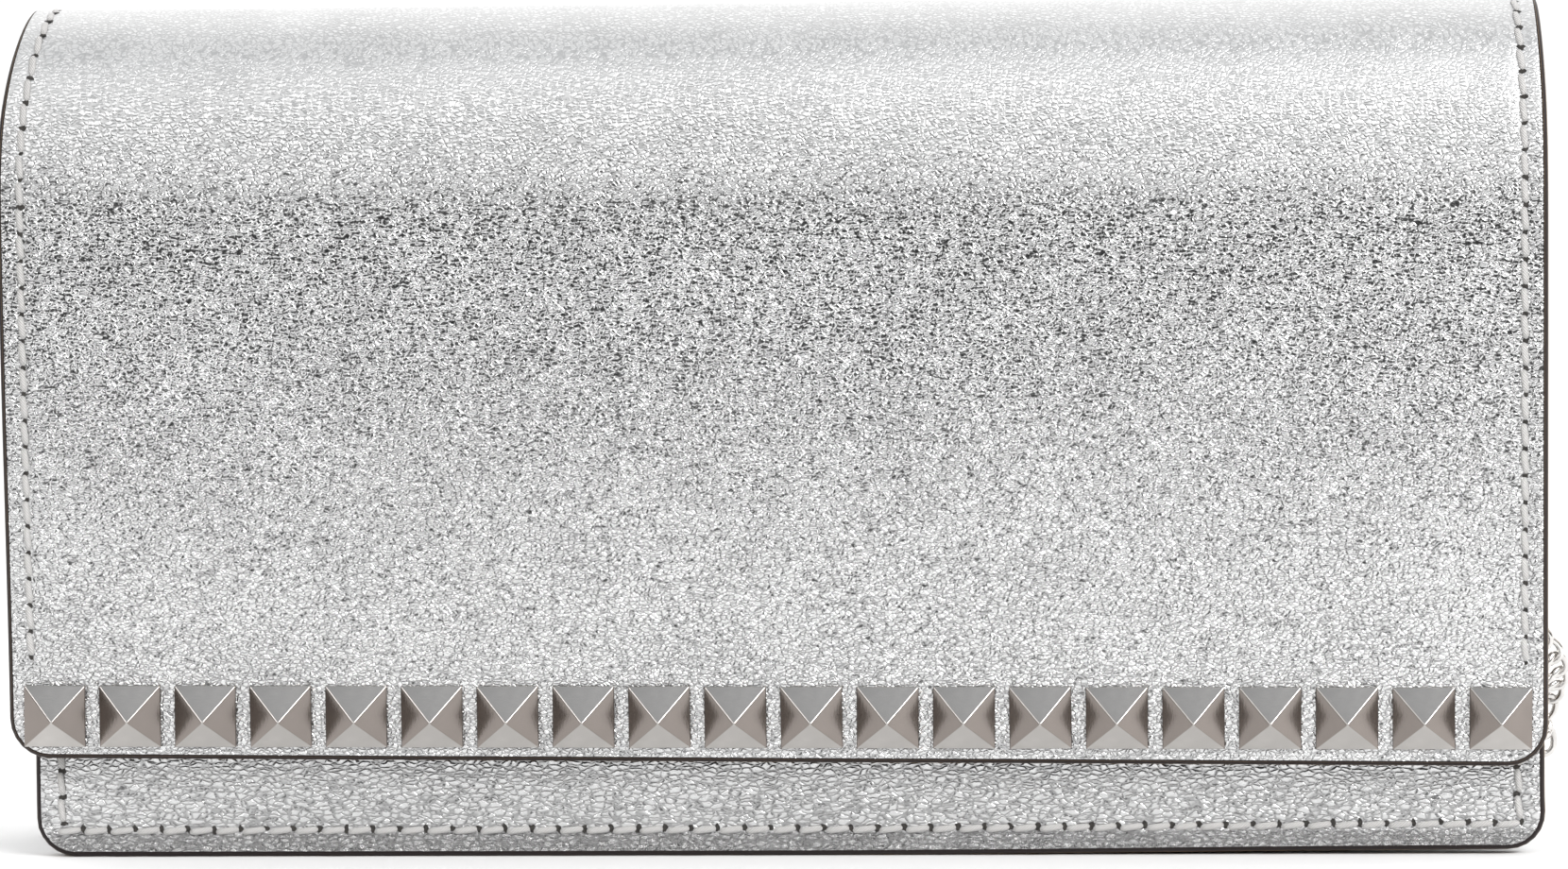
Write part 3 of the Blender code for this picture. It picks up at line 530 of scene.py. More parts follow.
def laminate(name, places, normals, flat, thickness, looks, slot, bead=BEAD):
    """A leather sheet: its face, its back, and a rounded painted edge all round."""
    rows, columns = len(places), len(places[0])
    mesh = bpy.data.meshes.new(name)
    bm = bmesh.new()
    layer = bm.loops.layers.uv.new("flat")
    marks = {}

    def vertex(place, mark):
        made = bm.verts.new(place * MM)
        marks[made] = mark
        return made

    def face(corners, look):
        made = bm.faces.new(corners)
        made.material_index = look
        for loop in made.loops:
            loop[layer].uv = marks[loop.vert]

    outer = [[vertex(places[r][c], flat[r][c]) for c in range(columns)] for r in range(rows)]
    inner = [
        [vertex(places[r][c] - normals[r][c] * thickness, flat[r][c]) for c in range(columns)]
        for r in range(rows)
    ]
    for r in range(rows - 1):
        for c in range(columns - 1):
            face((outer[r][c], outer[r + 1][c], outer[r + 1][c + 1], outer[r][c + 1]), 0)
            face((inner[r][c], inner[r][c + 1], inner[r + 1][c + 1], inner[r + 1][c]), 2)

    border = sheet_border(rows, columns)
    outs = []
    for i, (r, c) in enumerate(border):
        before = places[border[i - 1][0]][border[i - 1][1]]
        after = places[border[(i + 1) % len(border)][0]][border[(i + 1) % len(border)][1]]
        outs.append((after - before).cross(normals[r][c]).normalized())
    middle = columns // 2
    if outs[middle].dot(places[0][middle] - places[1][middle]) < 0:
        outs = [-out for out in outs]
    rings = []
    length = 0.0
    for i, (r, c) in enumerate(border):
        length += (places[r][c] - places[border[i - 1][0]][border[i - 1][1]]).length if i else 0.0
        ring = [outer[r][c]]
        for k in range(1, BEAD_STEPS):
            turn = math.pi * k / BEAD_STEPS
            reach = outs[i] * bead * math.sin(turn)
            drop = normals[r][c] * thickness * (1 - math.cos(turn)) / 2
            ring.append(vertex(places[r][c] + reach - drop, (length / 100, k / BEAD_STEPS)))
        ring.append(inner[r][c])
        rings.append(ring)
    for i, ring in enumerate(rings):
        after = rings[(i + 1) % len(rings)]
        for k in range(BEAD_STEPS):
            face((ring[k], after[k], after[k + 1], ring[k + 1]), 1)
    bmesh.ops.recalc_face_normals(bm, faces=bm.faces)
    bm.to_mesh(mesh)
    bm.free()
    return link_mesh(name, mesh, looks)


def across(left, right):
    """Places across a sheet, always as many: close together at its edges and wider in the middle."""
    band = min(EDGE_BAND, (right - left) / 4)
    near = [EDGE_STEP * i for i in range(round(EDGE_BAND / EDGE_STEP) + 1)]
    near = [step * band / EDGE_BAND for step in near]
    steps = round((FLAP_HALF - EDGE_BAND) / ROW_STEP) * 2
    inside = [band + (right - left - 2 * band) * i / steps for i in range(1, steps)]
    return [left + d for d in near + inside] + [right - d for d in reversed(near)]


def ease(t):
    t = min(max(t, 0.0), 1.0)
    return t * t * (3 - 2 * t)


def corner_cut(distance, radius):
    """How much narrower a sheet is at a distance from its end, for a round corner."""
    if distance >= radius:
        return 0.0
    return radius - math.sqrt(max(radius**2 - (radius - distance) ** 2, 0.0))


def corner_steps(radius):
    return [radius * (1 - math.cos(math.radians(a))) for a in (0, 15, 30, 45, 60, 75)]


def span(start, end, step):
    count = max(1, round(abs(end - start) / step))
    return [start + (end - start) * i / count for i in range(count + 1)]


# ---------------------------------------------------------------- flap and back


def flap_swell(z):
    """How far the flap's front stands out of its CAD face at a height."""
    up = ease((SPRING_Z + BULGE_TOP - z) / (SPRING_Z + BULGE_TOP - BULGE_Z))
    down = ease((BULGE_Z - z) / (BULGE_Z - FLAP_LOW.z))
    return BULGE * up * (1 - down) - TUCK * down


def cover_profile():
    """(y, z) from the back's lower edge, over the fold, to the flap's lower edge."""
    low_back = BACK_LOW.z + BEAD
    low_flap = FLAP_LOW.z + BEAD
    back = [low_back + d for d in corner_steps(PANEL_CORNER - BEAD)]
    back += span(low_back + PANEL_CORNER - BEAD, SPRING_Z - HINGE_BAND, ROW_STEP)[:-1]
    back += span(SPRING_Z - HINGE_BAND, SPRING_Z, EDGE_STEP)[:-1]
    path = [(BACK_Y, z) for z in back]
    for i in range(ARC_STEPS + 1):
        turn = math.pi * i / ARC_STEPS
        path.append((ARC_Y + ARC_RADIUS * math.cos(turn), SPRING_Z + ARC_RADIUS * math.sin(turn)))
    front = span(SPRING_Z, low_flap + FLAP_CORNER - BEAD, ROW_STEP)[1:]
    front += [low_flap + d for d in reversed(corner_steps(FLAP_CORNER - BEAD))]
    path += [(FLAP_Y, z) for z in front]
    return path


def flare_at(y, z):
    """0 over the fold's back half, 1 on the front below the fold."""
    if y > ARC_Y:
        return 0.0
    fall = min(1.0, (SPRING_Z + ARC_RADIUS - z) / (FLARE_REACH * ARC_RADIUS))
    return 1 - (1 - fall) ** 2


def cover_span(flare):
    """The middle and half width of the cover, from the body's over the fold to the flap's in front."""
    return BODY_X * (1 - flare), BODY_HALF + (FLAP_HALF - BODY_HALF) * flare


def seam_x(side, flare):
    middle, half = cover_span(flare)
    return middle + side * (half - FLAP_SEAM)


def flap_drop(x, z):
    """How much lower a place on the flap's front hangs, because the flap is closed a little askew."""
    return FLAP_DROP * x / FLAP_HALF * ease((DROP_TOP - z) / (DROP_TOP - DROP_FULL))


def cover_place(x, y, z, flare):
    """A point of the cover: the CAD face with its fullness, slow waves and the grooves of its seams."""
    normal = Vector((0, y - ARC_Y, max(z - SPRING_Z, 0.0))).normalized()
    on_front = y < ARC_Y
    rise = flap_swell(z) if on_front else 0.0
    rise += CROWN * normal.z**2
    wave_at = Vector((x * WAVE_SIZE, z * WAVE_SIZE * WAVE_SQUEEZE, FRONT_WAVES if on_front else BACK_WAVES))
    rise += WAVE_HEIGHT * noise.noise(wave_at) * ease((FLAP_HALF - abs(x)) / WAVE_FADE)
    if not on_front or z > FLAP_SEAM_END:
        off = min(abs(x - seam_x(side, flare)) for side in (-1, 1))
        rise -= GROOVE_DEPTH * math.exp(-((off / GROOVE_WIDTH) ** 2))
    drop = flap_drop(x, z) if on_front else 0.0
    return Vector((x, y, z - drop)) + normal * rise, normal


def make_cover():
    path = cover_profile()
    lengths = [0.0]
    for (y0, z0), (y1, z1) in zip(path, path[1:]):
        lengths.append(lengths[-1] + math.hypot(y1 - y0, z1 - z0))
    places, normals, flat = [], [], []
    for (y, z), length in zip(path, lengths):
        flare = flare_at(y, z)
        middle, half = cover_span(flare)
        half -= BEAD
        if y > ARC_Y:
            half -= corner_cut(z - BACK_LOW.z - BEAD, PANEL_CORNER - BEAD)
        else:
            half -= corner_cut(z - FLAP_LOW.z - BEAD, FLAP_CORNER - BEAD)
        made = [cover_place(x, y, z, flare) for x in across(middle - half, middle + half)]
        places.append([place for place, _ in made])
        normals.append([normal for _, normal in made])
        flat.append([(place.x / 100, length / 100) for place, _ in made])
    cover = laminate("cover", places, normals, flat, WALL, (SILVER, PAINT, LINING), "silver_leather")
    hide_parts("flap", "flap_lining", "back_panel", "back_lining")
    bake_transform(cover)
    return cover


def flap_seam(side):
    """Points and normals along a side seam: up the back, over the fold and down to the studs."""
    path = cover_profile()
    found = []
    for y, z in path:
        if y < ARC_Y and z < FLAP_SEAM_END:
            continue
        if y > ARC_Y and z < PANEL_SEAM:
            continue
        flare = flare_at(y, z)
        x = seam_x(side, flare)
        found.append(cover_place(x, y, z, flare))
    return found


def back_seam():
    """Points and normals along the seam across the back, between the lower ends of the side seams."""
    flare = flare_at(BACK_Y, PANEL_SEAM)
    return [
        cover_place(x, BACK_Y, PANEL_SEAM, flare)
        for x in span(seam_x(-1, flare), seam_x(1, flare), ROW_STEP)
    ]


def resample(found, pitch):
    """Evenly spaced (place, direction, normal) along a line of (place, normal)."""
    lengths = [0.0]
    for (a, _), (b, _) in zip(found, found[1:]):
        lengths.append(lengths[-1] + (b - a).length)
    count = max(1, round(lengths[-1] / pitch))
    spots = []
    j = 0
    for i in range(count):
        target = lengths[-1] * (i + 0.5) / count
        while lengths[j + 1] < target:
            j += 1
        t = (target - lengths[j]) / (lengths[j + 1] - lengths[j])
        (a, first), (b, second) = found[j], found[j + 1]
        spots.append((a.lerp(b, t), (b - a).normalized(), first.lerp(second, t).normalized()))
    return spots


def stitches(name, lines, pitch=STITCH_PITCH):
    """Flat waxed threads between dark needle holes, slightly slanted to the seam."""
    mesh = bpy.data.meshes.new(name)
    bm = bmesh.new()
    layer = bm.loops.layers.uv.new("flat")
    rings, sides = 9, 8
    for line in lines:
        for place, along, normal in resample(line, pitch):
            along = Matrix.Rotation(STITCH_SLANT, 3, normal) @ along
            aside = normal.cross(along)
            length = pitch * STITCH_SHARE
            grid = []
            for i in range(rings):
                t = i / (rings - 1)
                bow = 1 - abs(2 * t - 1) ** 4
                fat = 0.45 + 0.55 * math.sqrt(bow)
                lift = STITCH_RISE * (1.6 * bow - 0.6)
                middle = place + along * length * (t - 0.5) + normal * lift
                ring = []
                for k in range(sides):
                    turn = 2 * math.pi * k / sides
                    reach = aside * math.cos(turn) * STITCH_WIDTH / 2 * fat
                    rise = normal * math.sin(turn) * STITCH_DEPTH * fat
                    ring.append(bm.verts.new((middle + reach + rise) * MM))
                grid.append(ring)
            for i in range(rings - 1):
                for k in range(sides):
                    after = (k + 1) % sides
                    made = bm.faces.new((grid[i][k], grid[i][after], grid[i + 1][after], grid[i + 1][k]))
                    marks = ((i, k), (i, k + 1), (i + 1, k + 1), (i + 1, k))
                    for loop, (u, v) in zip(made.loops, marks):
                        loop[layer].uv = (u / rings, v / sides)
            bm.faces.new(reversed(grid[0]))
            bm.faces.new(grid[-1])
            add_hole(bm, place + along * pitch / 2, aside, normal)
    bmesh.ops.recalc_face_normals(bm, faces=bm.faces)
    bm.to_mesh(mesh)
    bm.free()
    return link_mesh(name, mesh, (THREAD, HOLE))


def add_hole(bm, place, aside, normal):
    """A ragged dark mark where the needle went through: a flat patch of painted shade for the hole."""
    ahead = normal.cross(aside)
    points = 9
    ring = []
    for k in range(points):
        turn = 2 * math.pi * k / points
        reach = HOLE_RADIUS * random.uniform(0.6, 1.25)
        spot = place + aside * math.cos(turn) * reach + ahead * math.sin(turn) * reach * 0.8
        ring.append(bm.verts.new((spot + normal * 0.03) * MM))
    top = bm.verts.new((place + normal * 0.06) * MM)
    for k in range(points):
        bm.faces.new((ring[k], ring[(k + 1) % points], top)).material_index = 1


# ---------------------------------------------------------------- front wall


def wall_rows(low, high, radii, bead, swell=None, lift=None, reach=None):
    """Places on an upright sheet's front face, with round lower and upper corners."""
    bottom, top = radii
    z_low, z_high = low.z + bead, high.z - bead
    near, far = bottom - bead, top - bead
    heights = [z_low + d for d in corner_steps(near)]
    heights += span(z_low + near, z_high - far, ROW_STEP)
    heights += [z_high - d for d in reversed(corner_steps(far))]
    places, normals, flat = [], [], []
    for z in heights:
        less = max(corner_cut(z - z_low, near), corner_cut(z_high - z, far))
        left, right = low.x + bead + less, high.x - bead - less
        row = []
        for x in across(left, right):
            rise = swell(x, z) if swell else 0.0
            up = lift(x, z) if lift else 0.0
            out = reach(x, z) if reach else 0.0
            row.append(Vector((x + out, low.y - rise, z + up)))
        places.append(row)
        normals.append([Vector((0, -1, 0))] * len(row))
        flat.append([(p.x / 100, p.z / 100) for p in row])
    return places, normals, flat


def front_swell(x, z):
    """The front wall's groove along its seam and the crinkles in the band outside it."""
    inside = min(x - FRONT_LOW.x, FRONT_HIGH.x - x, z - FRONT_LOW.z)
    rise = -GROOVE_DEPTH * math.exp(-(((inside - PANEL_SEAM) / GROOVE_WIDTH) ** 2))
    crinkle = noise.noise(Vector((x, 0.0, z)) * CRINKLE_SIZE)
    return rise + CRINKLE * crinkle * ease((PANEL_SEAM + 1.0 - inside) / 2.0)


def front_lift(x, z):
    """The front wall's lower right corner stands a little off the floor."""
    return FRONT_LIFT * ease(x / BODY_HALF) * ease((DROP_FULL - z) / DROP_FULL)


def front_reach(x, z):
    """The front wall's right side stands out, most of all at its lower corner."""
    return (FRONT_REACH + CORNER_REACH * ease((CORNER_TOP - z) / CORNER_TOP)) * ease(x / BODY_HALF)


def panel_seam(low, high, y, radius=0.4):
    """The line of a seam down one side of a wall, along the bottom and up the other side."""
    left, right, floor = low.x + PANEL_SEAM, high.x - PANEL_SEAM, low.z + PANEL_SEAM
    top = high.z - PANEL_SEAM
    line = [(left, z) for z in span(top, floor + radius, ROW_STEP)]
    for a in (15, 45, 75):
        turn = math.radians(180 + a)
        line.append((left + radius + radius * math.cos(turn), floor + radius + radius * math.sin(turn)))
    line += [(x, floor) for x in span(left + radius, right - radius, ROW_STEP)]
    for a in (15, 45, 75):
        turn = math.radians(270 + a)
        line.append((right - radius + radius * math.cos(turn), floor + radius + radius * math.sin(turn)))
    line += [(right, z) for z in span(floor + radius, top, ROW_STEP)]
    return [
        (Vector((x + front_reach(x, z), y, z + front_lift(x, z))), Vector((0, -1, 0)))
        for x, z in line
    ]


def make_front_wall():
    corners = (PANEL_CORNER, PANEL_TOP_CORNER)
    rows = wall_rows(FRONT_LOW, FRONT_HIGH, corners, FRONT_BEAD, front_swell, front_lift, front_reach)
    wall = laminate("front_wall", *rows, WALL, (CREASED, PAINT, LINING), "silver_leather", FRONT_BEAD)
    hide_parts("front_panel", "front_lining")
    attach(wall, "front")
    line = panel_seam(FRONT_LOW, FRONT_HIGH, FRONT_LOW.y + SEAM_SINK)
    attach(stitches("front_stitches", [line]), "front")


# ---------------------------------------------------------------- gusset


def smooth_path(points, spacing):
    """A Catmull-Rom curve through the points, sampled about every spacing."""
    places = [Vector(p) for p in points]
    padded = [2 * places[0] - places[1]] + places + [2 * places[-1] - places[-2]]
    path = []
    for before, start, end, after in zip(padded, padded[1:], padded[2:], padded[3:]):
        steps = max(1, round((end - start).length / spacing))
        for i in range(steps):
            t = i / steps
            even = 2 * start + (end - before) * t
            even += (2 * before - 5 * start + 4 * end - after) * t**2
            even += (3 * start - before - 3 * end + after) * t**3
            path.append(0.5 * even)
    return path + [places[-1]]


def gusset_section(x, z, out_x, out_z):
    """Points from the front seam to the back one, at a place on the gusset's outline."""
    pinch = PINCH * ease((z - PINCH_START) / (PINCH_FULL - PINCH_START))
    corners = [
        (SEAM, GUSSET_FRONT),
        (GUSSET_TURN, GUSSET_FRONT),
        (-GUSSET_SHOULDER * pinch, GUSSET_FRONT + GUSSET_EDGE),
        (-pinch, GUSSET_MID - PINCH_FLAT),
        (-pinch, GUSSET_MID),
        (-pinch, GUSSET_MID + PINCH_FLAT),
        (-GUSSET_SHOULDER * pinch, GUSSET_BACK - GUSSET_EDGE),
        (GUSSET_TURN, GUSSET_BACK),
        (SEAM, GUSSET_BACK),
    ]
    row = []
    for start, end in zip(corners, corners[1:]):
        for i in range(4):
            reach = start[0] + (end[0] - start[0]) * i / 4
            y = start[1] + (end[1] - start[1]) * i / 4
            row.append(Vector((BODY_X + x + reach * out_x, y, z + reach * out_z)))
    reach, y = corners[-1]
    row.append(Vector((BODY_X + x + reach * out_x, y, z + reach * out_z)))
    for _ in range(3):
        row = [row[0]] + [(a + 2 * b + c) / 4 for a, b, c in zip(row, row[1:], row[2:])] + [row[-1]]
    return row


def make_gusset():
    """One strip of leather down the left, along the base and up the right, folded inwards."""
    corner = PANEL_CORNER - SEAM
    heights = span(GUSSET_HIGH.z, SEAM + corner, ROW_STEP)
    left = [(-WEB_X, z, -1.0, 0.0) for z in heights]
    for a in (200, 225, 250):
        turn = math.radians(a)
        x = corner - WEB_X + corner * math.cos(turn)
        left.append((x, SEAM + corner + corner * math.sin(turn), math.cos(turn), math.sin(turn)))
    base = [(x, SEAM, 0.0, -1.0) for x in span(corner - WEB_X, WEB_X - corner, 4 * ROW_STEP)]
    right = [(-x, z, -u, v) for x, z, u, v in reversed(left)]
    places = [gusset_section(*place) for place in left + base + right]
    rows, columns = len(places), len(places[0])
    normals, flat = [], []
    for r in range(rows):
        row = []
        for c in range(columns):
            along = places[min(r + 1, rows - 1)][c] - places[max(r - 1, 0)][c]
            over = places[r][min(c + 1, columns - 1)] - places[r][max(c - 1, 0)]
            row.append(over.cross(along).normalized())
        normals.append(row)
        flat.append([(c * 0.6 / 100, r * ROW_STEP / 100) for c in range(columns)])
    middle = rows // 2
    if normals[middle][columns // 2].z > 0:
        normals = [[-n for n in row] for row in normals]
    places = [[p + n * GUSSET / 2 for p, n in zip(*pair)] for pair in zip(places, normals)]
    places = [[p + Vector((0, 0, front_lift(p.x, p.z))) for p in row] for row in places]
    looks = (SILVER, PAINT, LINING)
    gusset = laminate("gusset_fold", places, normals, flat, GUSSET, looks, "silver_leather", GUSSET_BEAD)
    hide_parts("gusset")
    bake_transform(gusset)


# ---------------------------------------------------------------- inside


def inside_sheet(node, looks, slot, bead, corners):
    """A thin upright sheet in place of its CAD solid, with turned edges."""
    low, high = box_mm(node)
    rows = wall_rows(low, high, corners, bead)
    made = laminate(f"{node}_sheet", *rows, high.y - low.y, looks, slot, bead)
    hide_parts(node)
    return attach(made, "root")


def make_inside():
    leather = (LINING, PAINT, LINING)
    for i in range(1, 5):
        node = f"card_tier_{i}"
        inside_sheet(node, leather, "lining_leather", 0.2, (2.0, 1.2))
        low, high = box_mm(node)
        edge = [
            (Vector((x, low.y - TIER_SEAM_RISE, high.z - TIER_SEAM)), Vector((0, -1, 0)))
            for x in span(low.x + TIER_SEAM_END, high.x - TIER_SEAM_END, ROW_STEP)
        ]
        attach(stitches(f"{node}_stitches", [edge], TIER_PITCH), "root")
    for name in ("front", "back"):
        inside_sheet(f"pocket_wall_{name}", leather, "lining_leather", 0.25, (3.0, 1.2))
        inside_sheet(f"zip_tape_{name}", (TAPE, TAPE, TAPE), "zip_cloth", 0.15, (0.8, 0.8))


# ---------------------------------------------------------------- hardware


def soften(made, look, bevel, sharp):
    """Give a piece its look, join its loose faces and round the edges sharper than an angle."""
    made.data.materials.clear()
    made.data.materials.append(look)
    weld = made.modifiers.new("weld", "WELD")
    weld.merge_threshold = WELD * MM
    edges = made.modifiers.new("edges", "BEVEL")
    edges.width = bevel * MM
    edges.segments = 3
    edges.limit_method = "ANGLE"
    edges.angle_limit = math.radians(sharp)
    made.data.shade_smooth()
    return edges


def finish_node(node, look, bevel):
    """A carried-over CAD node with softened edges and its own surface."""
    edges = soften(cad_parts[node], look, bevel, 35)
    edges.harden_normals = True


def soft_copy(node, look, body, bevel):
    """A strap made from its CAD solid: welded, with rounded edges."""
    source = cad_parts[node]
    made = bpy.data.objects.new(f"{node}_strap", source.data.copy())
    bpy.context.scene.collection.objects.link(made)
    soften(made, look, bevel, 50)
    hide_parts(node)
    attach(made, body)
    return made


def make_hardware():
    bevels = {
        "snap_plug": 0.2,
        "snap_plug_washer": 0.1,
        "snap_socket": 0.2,
        "snap_socket_washer": 0.1,
        "zip_teeth_front": 0.12,
        "zip_teeth_back": 0.12,
        "zip_stop_left": 0.3,
        "zip_stop_right": 0.3,
        "zip_slider": 0.18,
        "zip_pull": 0.2,
        "clasp_left": 0.5,
        "clasp_right": 0.5,
        "clasp_gate_left": 0.35,
        "clasp_gate_right": 0.35,
        "d_ring_left": 0.05,
        "d_ring_right": 0.05,
    }
    for node, bevel in bevels.items():
        finish_node(node, SATIN, bevel)
    for name in ("left", "right"):
        soft_copy(f"ring_tab_{name}", SILVER_FOLD, "root", 0.3)
    return soft_copy("hank_tie", DARK_FOLD, "root", 0.22)


# ---------------------------------------------------------------- studs


def stud_mesh(low, high):
    """A square pyramid on a low straight base, with crisp ridges."""
    side = (high.x - low.x) / 2 + STUD_GROWTH
    base, tip = high.y, low.y
    mesh = bpy.data.meshes.new("stud")
    bm = bmesh.new()
    levels = [(side, base, 0.0), (side, base - STUD_SKIRT, 0.0), (STUD_TIP, tip, STUD_NOD)]
    corners = ((-1, -1), (1, -1), (1, 1), (-1, 1))
    rings = [
        [bm.verts.new(Vector((x * half, y, z * half - nod)) * MM) for x, z in corners]
        for half, y, nod in levels
    ]
    for lower, upper in zip(rings, rings[1:]):
        for k in range(4):
            bm.faces.new((lower[k], lower[(k + 1) % 4], upper[(k + 1) % 4], upper[k]))
    bm.faces.new(reversed(rings[0]))
    bm.faces.new(rings[-1])
    bmesh.ops.recalc_face_normals(bm, faces=bm.faces)
    bm.to_mesh(mesh)
    bm.free()
    return mesh


def make_studs():
    low, high = box_mm("stud_01")
    shared = stud_mesh(low, high)
    shared.materials.append(STUD_METAL)
    shared.shade_smooth()
    for i in range(1, 21):
        node = f"stud_{i:02d}"
        low, high = box_mm(node)
        made = bpy.data.objects.new(f"pyramid_{i:02d}", shared)
        centre = (low + high) / 2
        tilt = Matrix.Rotation(math.radians(random.uniform(-0.5, 0.5)), 4, "Y")
        z = centre.z - STUD_DROP * flap_drop(centre.x, centre.z)
        made.matrix_world = Matrix.Translation(Vector((centre.x, TUCK, z)) * MM) @ tilt
        bpy.context.scene.collection.objects.link(made)
        ridge = made.modifiers.new("ridge", "BEVEL")
        ridge.width = STUD_RIDGE * MM
        ridge.segments = 3
        ridge.limit_method = "ANGLE"
        ridge.angle_limit = math.radians(20)
        ridge.harden_normals = True
        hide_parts(node)
        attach(made, "flap")


# ---------------------------------------------------------------- chain


def hank_half_gap(x):
    t = min(abs(x) / HANK_RUN, 1.0)
    return HANK_WAIST + (HANK_LOOP - HANK_WAIST) * (1 - math.cos(math.pi * t)) / 2


def hank_route():
    """The hank's turns in the body's own X: in along the near run, and out at the top on its left."""
    xs = [HANK_RUN - HANK_RUN * i / HANK_STEPS for i in range(2 * HANK_STEPS + 1)]
    bends = [math.radians(a) for a in range(15, 180, 15)]
    route = []
    for turn in range(HANK_TURNS + 1):
        z = HANK_FIRST_Z + CHAIN * turn
        route += [(x, HANK_Y - hank_half_gap(x), z) for x in xs]
        if turn == HANK_TURNS:
            break
        for a in bends:
            route.append((-HANK_RUN - HANK_LOOP * math.sin(a), HANK_Y - HANK_LOOP * math.cos(a), z))
        route += [(-x, HANK_Y + hank_half_gap(x), z) for x in xs]
        for a in bends:
            step = CHAIN * ease(a / math.pi)
            route.append((HANK_RUN + HANK_LOOP * math.sin(a), HANK_Y + HANK_LOOP * math.cos(a), z + step))
    return route


def chain_path(side):
    """The right stretch goes on through the hank; the left one is the chain's other end, lying on it."""
    floor = RIGHT_FLOOR if side > 0 else LEFT_FLOOR
    route = [(side * x, y, z) for x, y, z in SIDE_ROUTE + floor]
    if side > 0:
        route += hank_route()
    return smooth_path([(BODY_X + x, y, z) for x, y, z in route], PATH_STEP)


def link_frames(path, side):
    """Where each link sits: its middle, its direction and the way its flat side faces."""
    lengths = [0.0]
    for a, b in zip(path, path[1:]):
        lengths.append(lengths[-1] + (b - a).length)
    count = round((lengths[-1] - LINK_LENGTH) / LINK_PITCH)
    pitch = (lengths[-1] - LINK_LENGTH) / count
    frames = []
    j = 0
    for i in range(count + 1):
        target = LINK_LENGTH / 2 + i * pitch
        while lengths[j + 1] < target:
            j += 1
        t = (target - lengths[j]) / (lengths[j + 1] - lengths[j])
        place = path[j].lerp(path[j + 1], t)
        along = (path[j + 1] - path[j]).normalized()
        lying = ease((LYING_TOP - place.z) / LYING_FALL)
        guide = Vector((side * 0.35 * (1 - lying), -0.9 * (1 - lying), lying))
        facing = (guide - along * guide.dot(along)).normalized()
        frames.append((place, along, facing))
    return frames


def chain_mesh(name, path, side):
    """Curb links, each an oval ring twisted so that it lies flat through its neighbours."""
    mesh = bpy.data.meshes.new(name)
    bm = bmesh.new()
    steps, sides = 20, 8
    reach = (LINK_LENGTH - LINK_WIRE) / 2
    width = (CHAIN - LINK_WIRE) / 2
    for place, along, facing in link_frames(path, side):
        aside = facing.cross(along)
        centres = []
        for i in range(steps):
            turn = 2 * math.pi * i / steps
            u, v = reach * math.cos(turn), width * math.sin(turn)
            lift = LINK_TWIST * (math.sin(2 * turn) + LINK_LEAN * math.sin(turn))
            centres.append(place + along * u + aside * v + facing * lift)
        rings = []
        for i, centre in enumerate(centres):
            forward = (centres[(i + 1) % steps] - centres[i - 1]).normalized()
            outward = (centre - place).normalized()
            outward = (outward - forward * outward.dot(forward)).normalized()
            upward = forward.cross(outward)
            rings.append([
                bm.verts.new((centre + (outward * math.cos(a) + upward * math.sin(a)) * LINK_WIRE / 2) * MM)
                for a in (2 * math.pi * k / sides for k in range(sides))
            ])
        for i in range(steps):
            after = rings[(i + 1) % steps]
            for k in range(sides):
                bm.faces.new((rings[i][k], rings[i][(k + 1) % sides], after[(k + 1) % sides], after[k]))
    bmesh.ops.recalc_face_normals(bm, faces=bm.faces)
    bm.to_mesh(mesh)
    bm.free()
    return link_mesh(name, mesh, (PALE,))


def make_chain():
    for name, side, nodes in (("right", 1, ("chain_right", "chain_hank")), ("left", -1, ("chain_left",))):
        path = chain_path(side)
        made = chain_mesh(f"curb_chain_{name}", path, side)
        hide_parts(*nodes)
        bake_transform(made)


# ---------------------------------------------------------------- stage


def make_stage():
    mesh = bpy.data.meshes.new("floor")
    bm = bmesh.new()
    front = [(-FLOOR_HALF, FLOOR_FRONT), (FLOOR_HALF, FLOOR_FRONT)]
    back = [(FLOOR_HALF, FLOOR_HALF), (-FLOOR_HALF, FLOOR_HALF)]
    bm.faces.new([bm.verts.new((x, y, 0)) for x, y in front + back])
    bm.to_mesh(mesh)
    bm.free()
    floor = bpy.data.objects.new("floor", mesh)
    look, _, shader = new_look("floor", 0.0, 0.9)
    shader.inputs["Base Color"].default_value = (0.93, 0.93, 0.93, 1.0)
    shader.inputs["Specular IOR Level"].default_value = 0.1
    mesh.materials.append(look)
    bpy.context.scene.collection.objects.link(floor)


def add_light(name, at, size, power):
    data = bpy.data.lights.new(name, "AREA")
    data.shape = "RECTANGLE"
    data.size, data.size_y = size
    data.energy = power
    light = bpy.data.objects.new(name, data)
    at = Vector(at)
    look = (LIGHT_AIM - at).to_track_quat("-Z", "Y").to_matrix().to_4x4()
    light.matrix_world = Matrix.Translation(at) @ look
    bpy.context.scene.collection.objects.link(light)


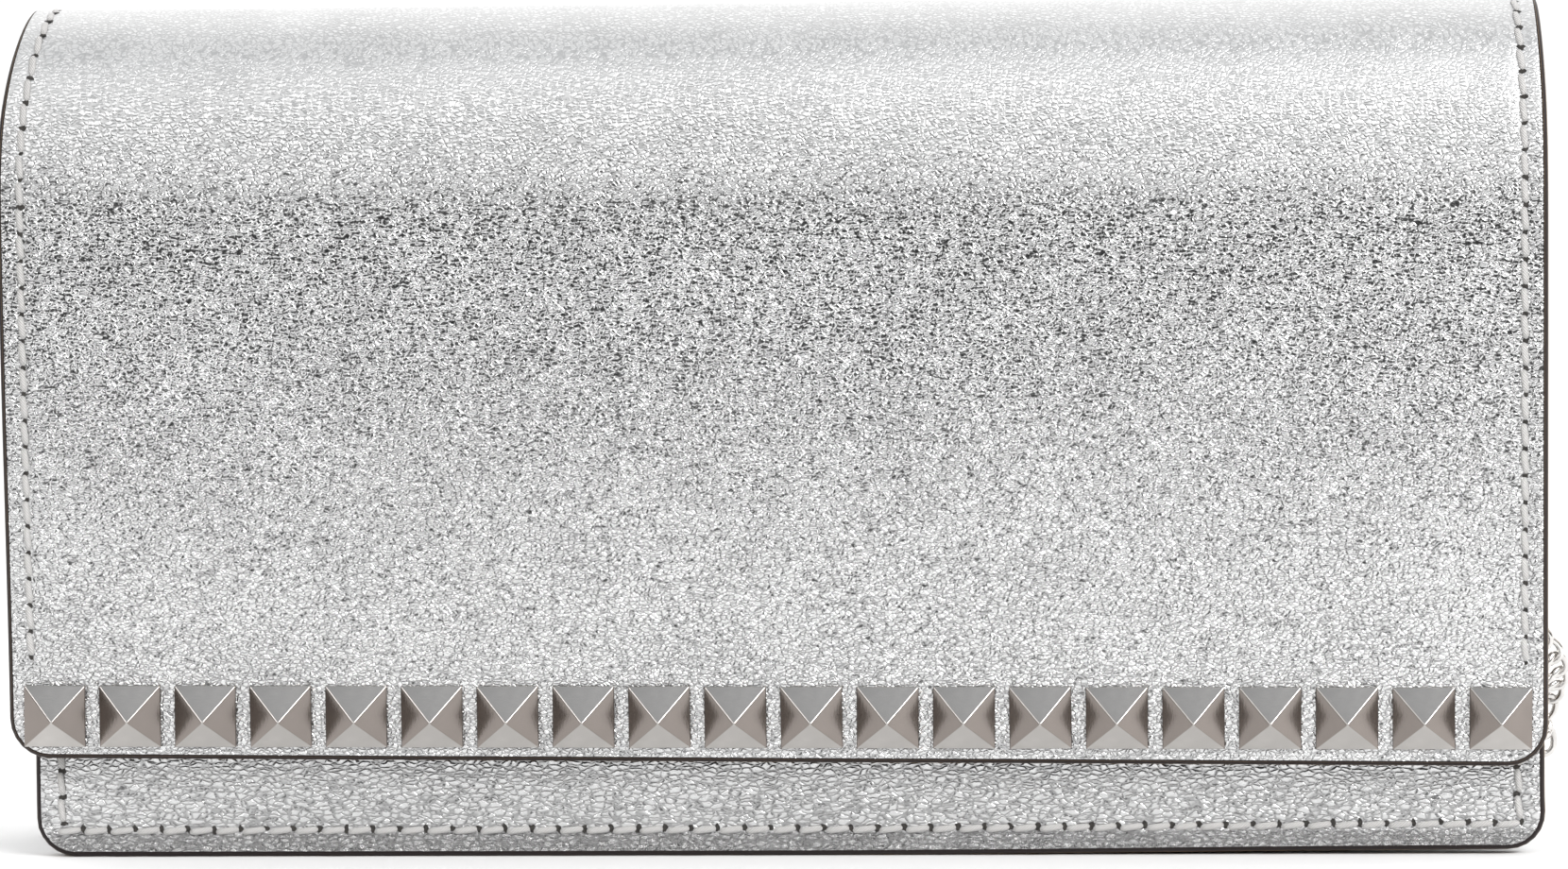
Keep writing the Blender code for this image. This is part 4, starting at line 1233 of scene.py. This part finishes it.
def make_light():
    """A bright room, dark low down on the camera's side, and the two strips."""
    for name, (at, size, power) in STRIPS.items():
        add_light(name, at, size, power)
    world = bpy.data.worlds.new("studio")
    world.use_nodes = True
    bpy.context.scene.world = world
    nodes = Nodes(world.node_tree)
    background = world.node_tree.nodes["Background"]
    place = nodes.add("ShaderNodeTexCoord").outputs["Generated"]
    parts = nodes.add("ShaderNodeSeparateXYZ")
    nodes.join(place, parts.inputs[0])
    # From level (0) to straight up (1): the dark room, its bright walls, and a grey patch of
    # ceiling that the studs' top faces show.
    ahead = [
        (0.0, grey(0.04)),
        (0.14, grey(0.06)),
        (0.25, grey(0.75)),
        (0.34, grey(1.0)),
        (0.60, grey(0.92)),
        (0.76, grey(0.85)),
        (0.86, grey(0.38, -0.04)),
        (0.94, grey(0.38, -0.04)),
        (1.0, grey(0.6)),
    ]
    front = nodes.ramp(parts.outputs["Z"], ahead)
    wings = [(0.55, grey(1.0)), (0.92, grey(0.42, 0.05))]
    sides = nodes.ramp(nodes.math("ABSOLUTE", parts.outputs["X"]), wings)
    dimmed = nodes.add("ShaderNodeMixRGB", blend_type="MULTIPLY")
    dimmed.inputs["Fac"].default_value = 1.0
    nodes.join(front, dimmed.inputs["Color1"])
    nodes.join(sides, dimmed.inputs["Color2"])
    behind = nodes.add("ShaderNodeMixRGB")
    behind.inputs["Color2"].default_value = (1.0, 1.0, 1.0, 1.0)
    nodes.join(nodes.math("GREATER_THAN", parts.outputs["Y"], BEHIND), behind.inputs["Fac"])
    nodes.join(dimmed.outputs["Color"], behind.inputs["Color1"])
    front = behind.outputs["Color"]
    seen = nodes.add("ShaderNodeLightPath").outputs["Is Camera Ray"]
    pick = nodes.add("ShaderNodeMixRGB")
    pick.inputs["Color2"].default_value = (1.0, 1.0, 1.0, 1.0)
    nodes.join(seen, pick.inputs["Fac"])
    nodes.join(front, pick.inputs["Color1"])
    nodes.join(pick.outputs["Color"], background.inputs["Color"])
    background.inputs["Strength"].default_value = SKY
    bpy.context.scene.view_settings.view_transform = "Standard"


# ---------------------------------------------------------------- build


tie = make_hardware()
make_chain()
make_cover()
seams = stitches("flap_stitches", [flap_seam(-1), flap_seam(1), back_seam()])
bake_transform(seams)
make_front_wall()
make_gusset()
make_inside()
make_studs()
make_stage()
make_light()
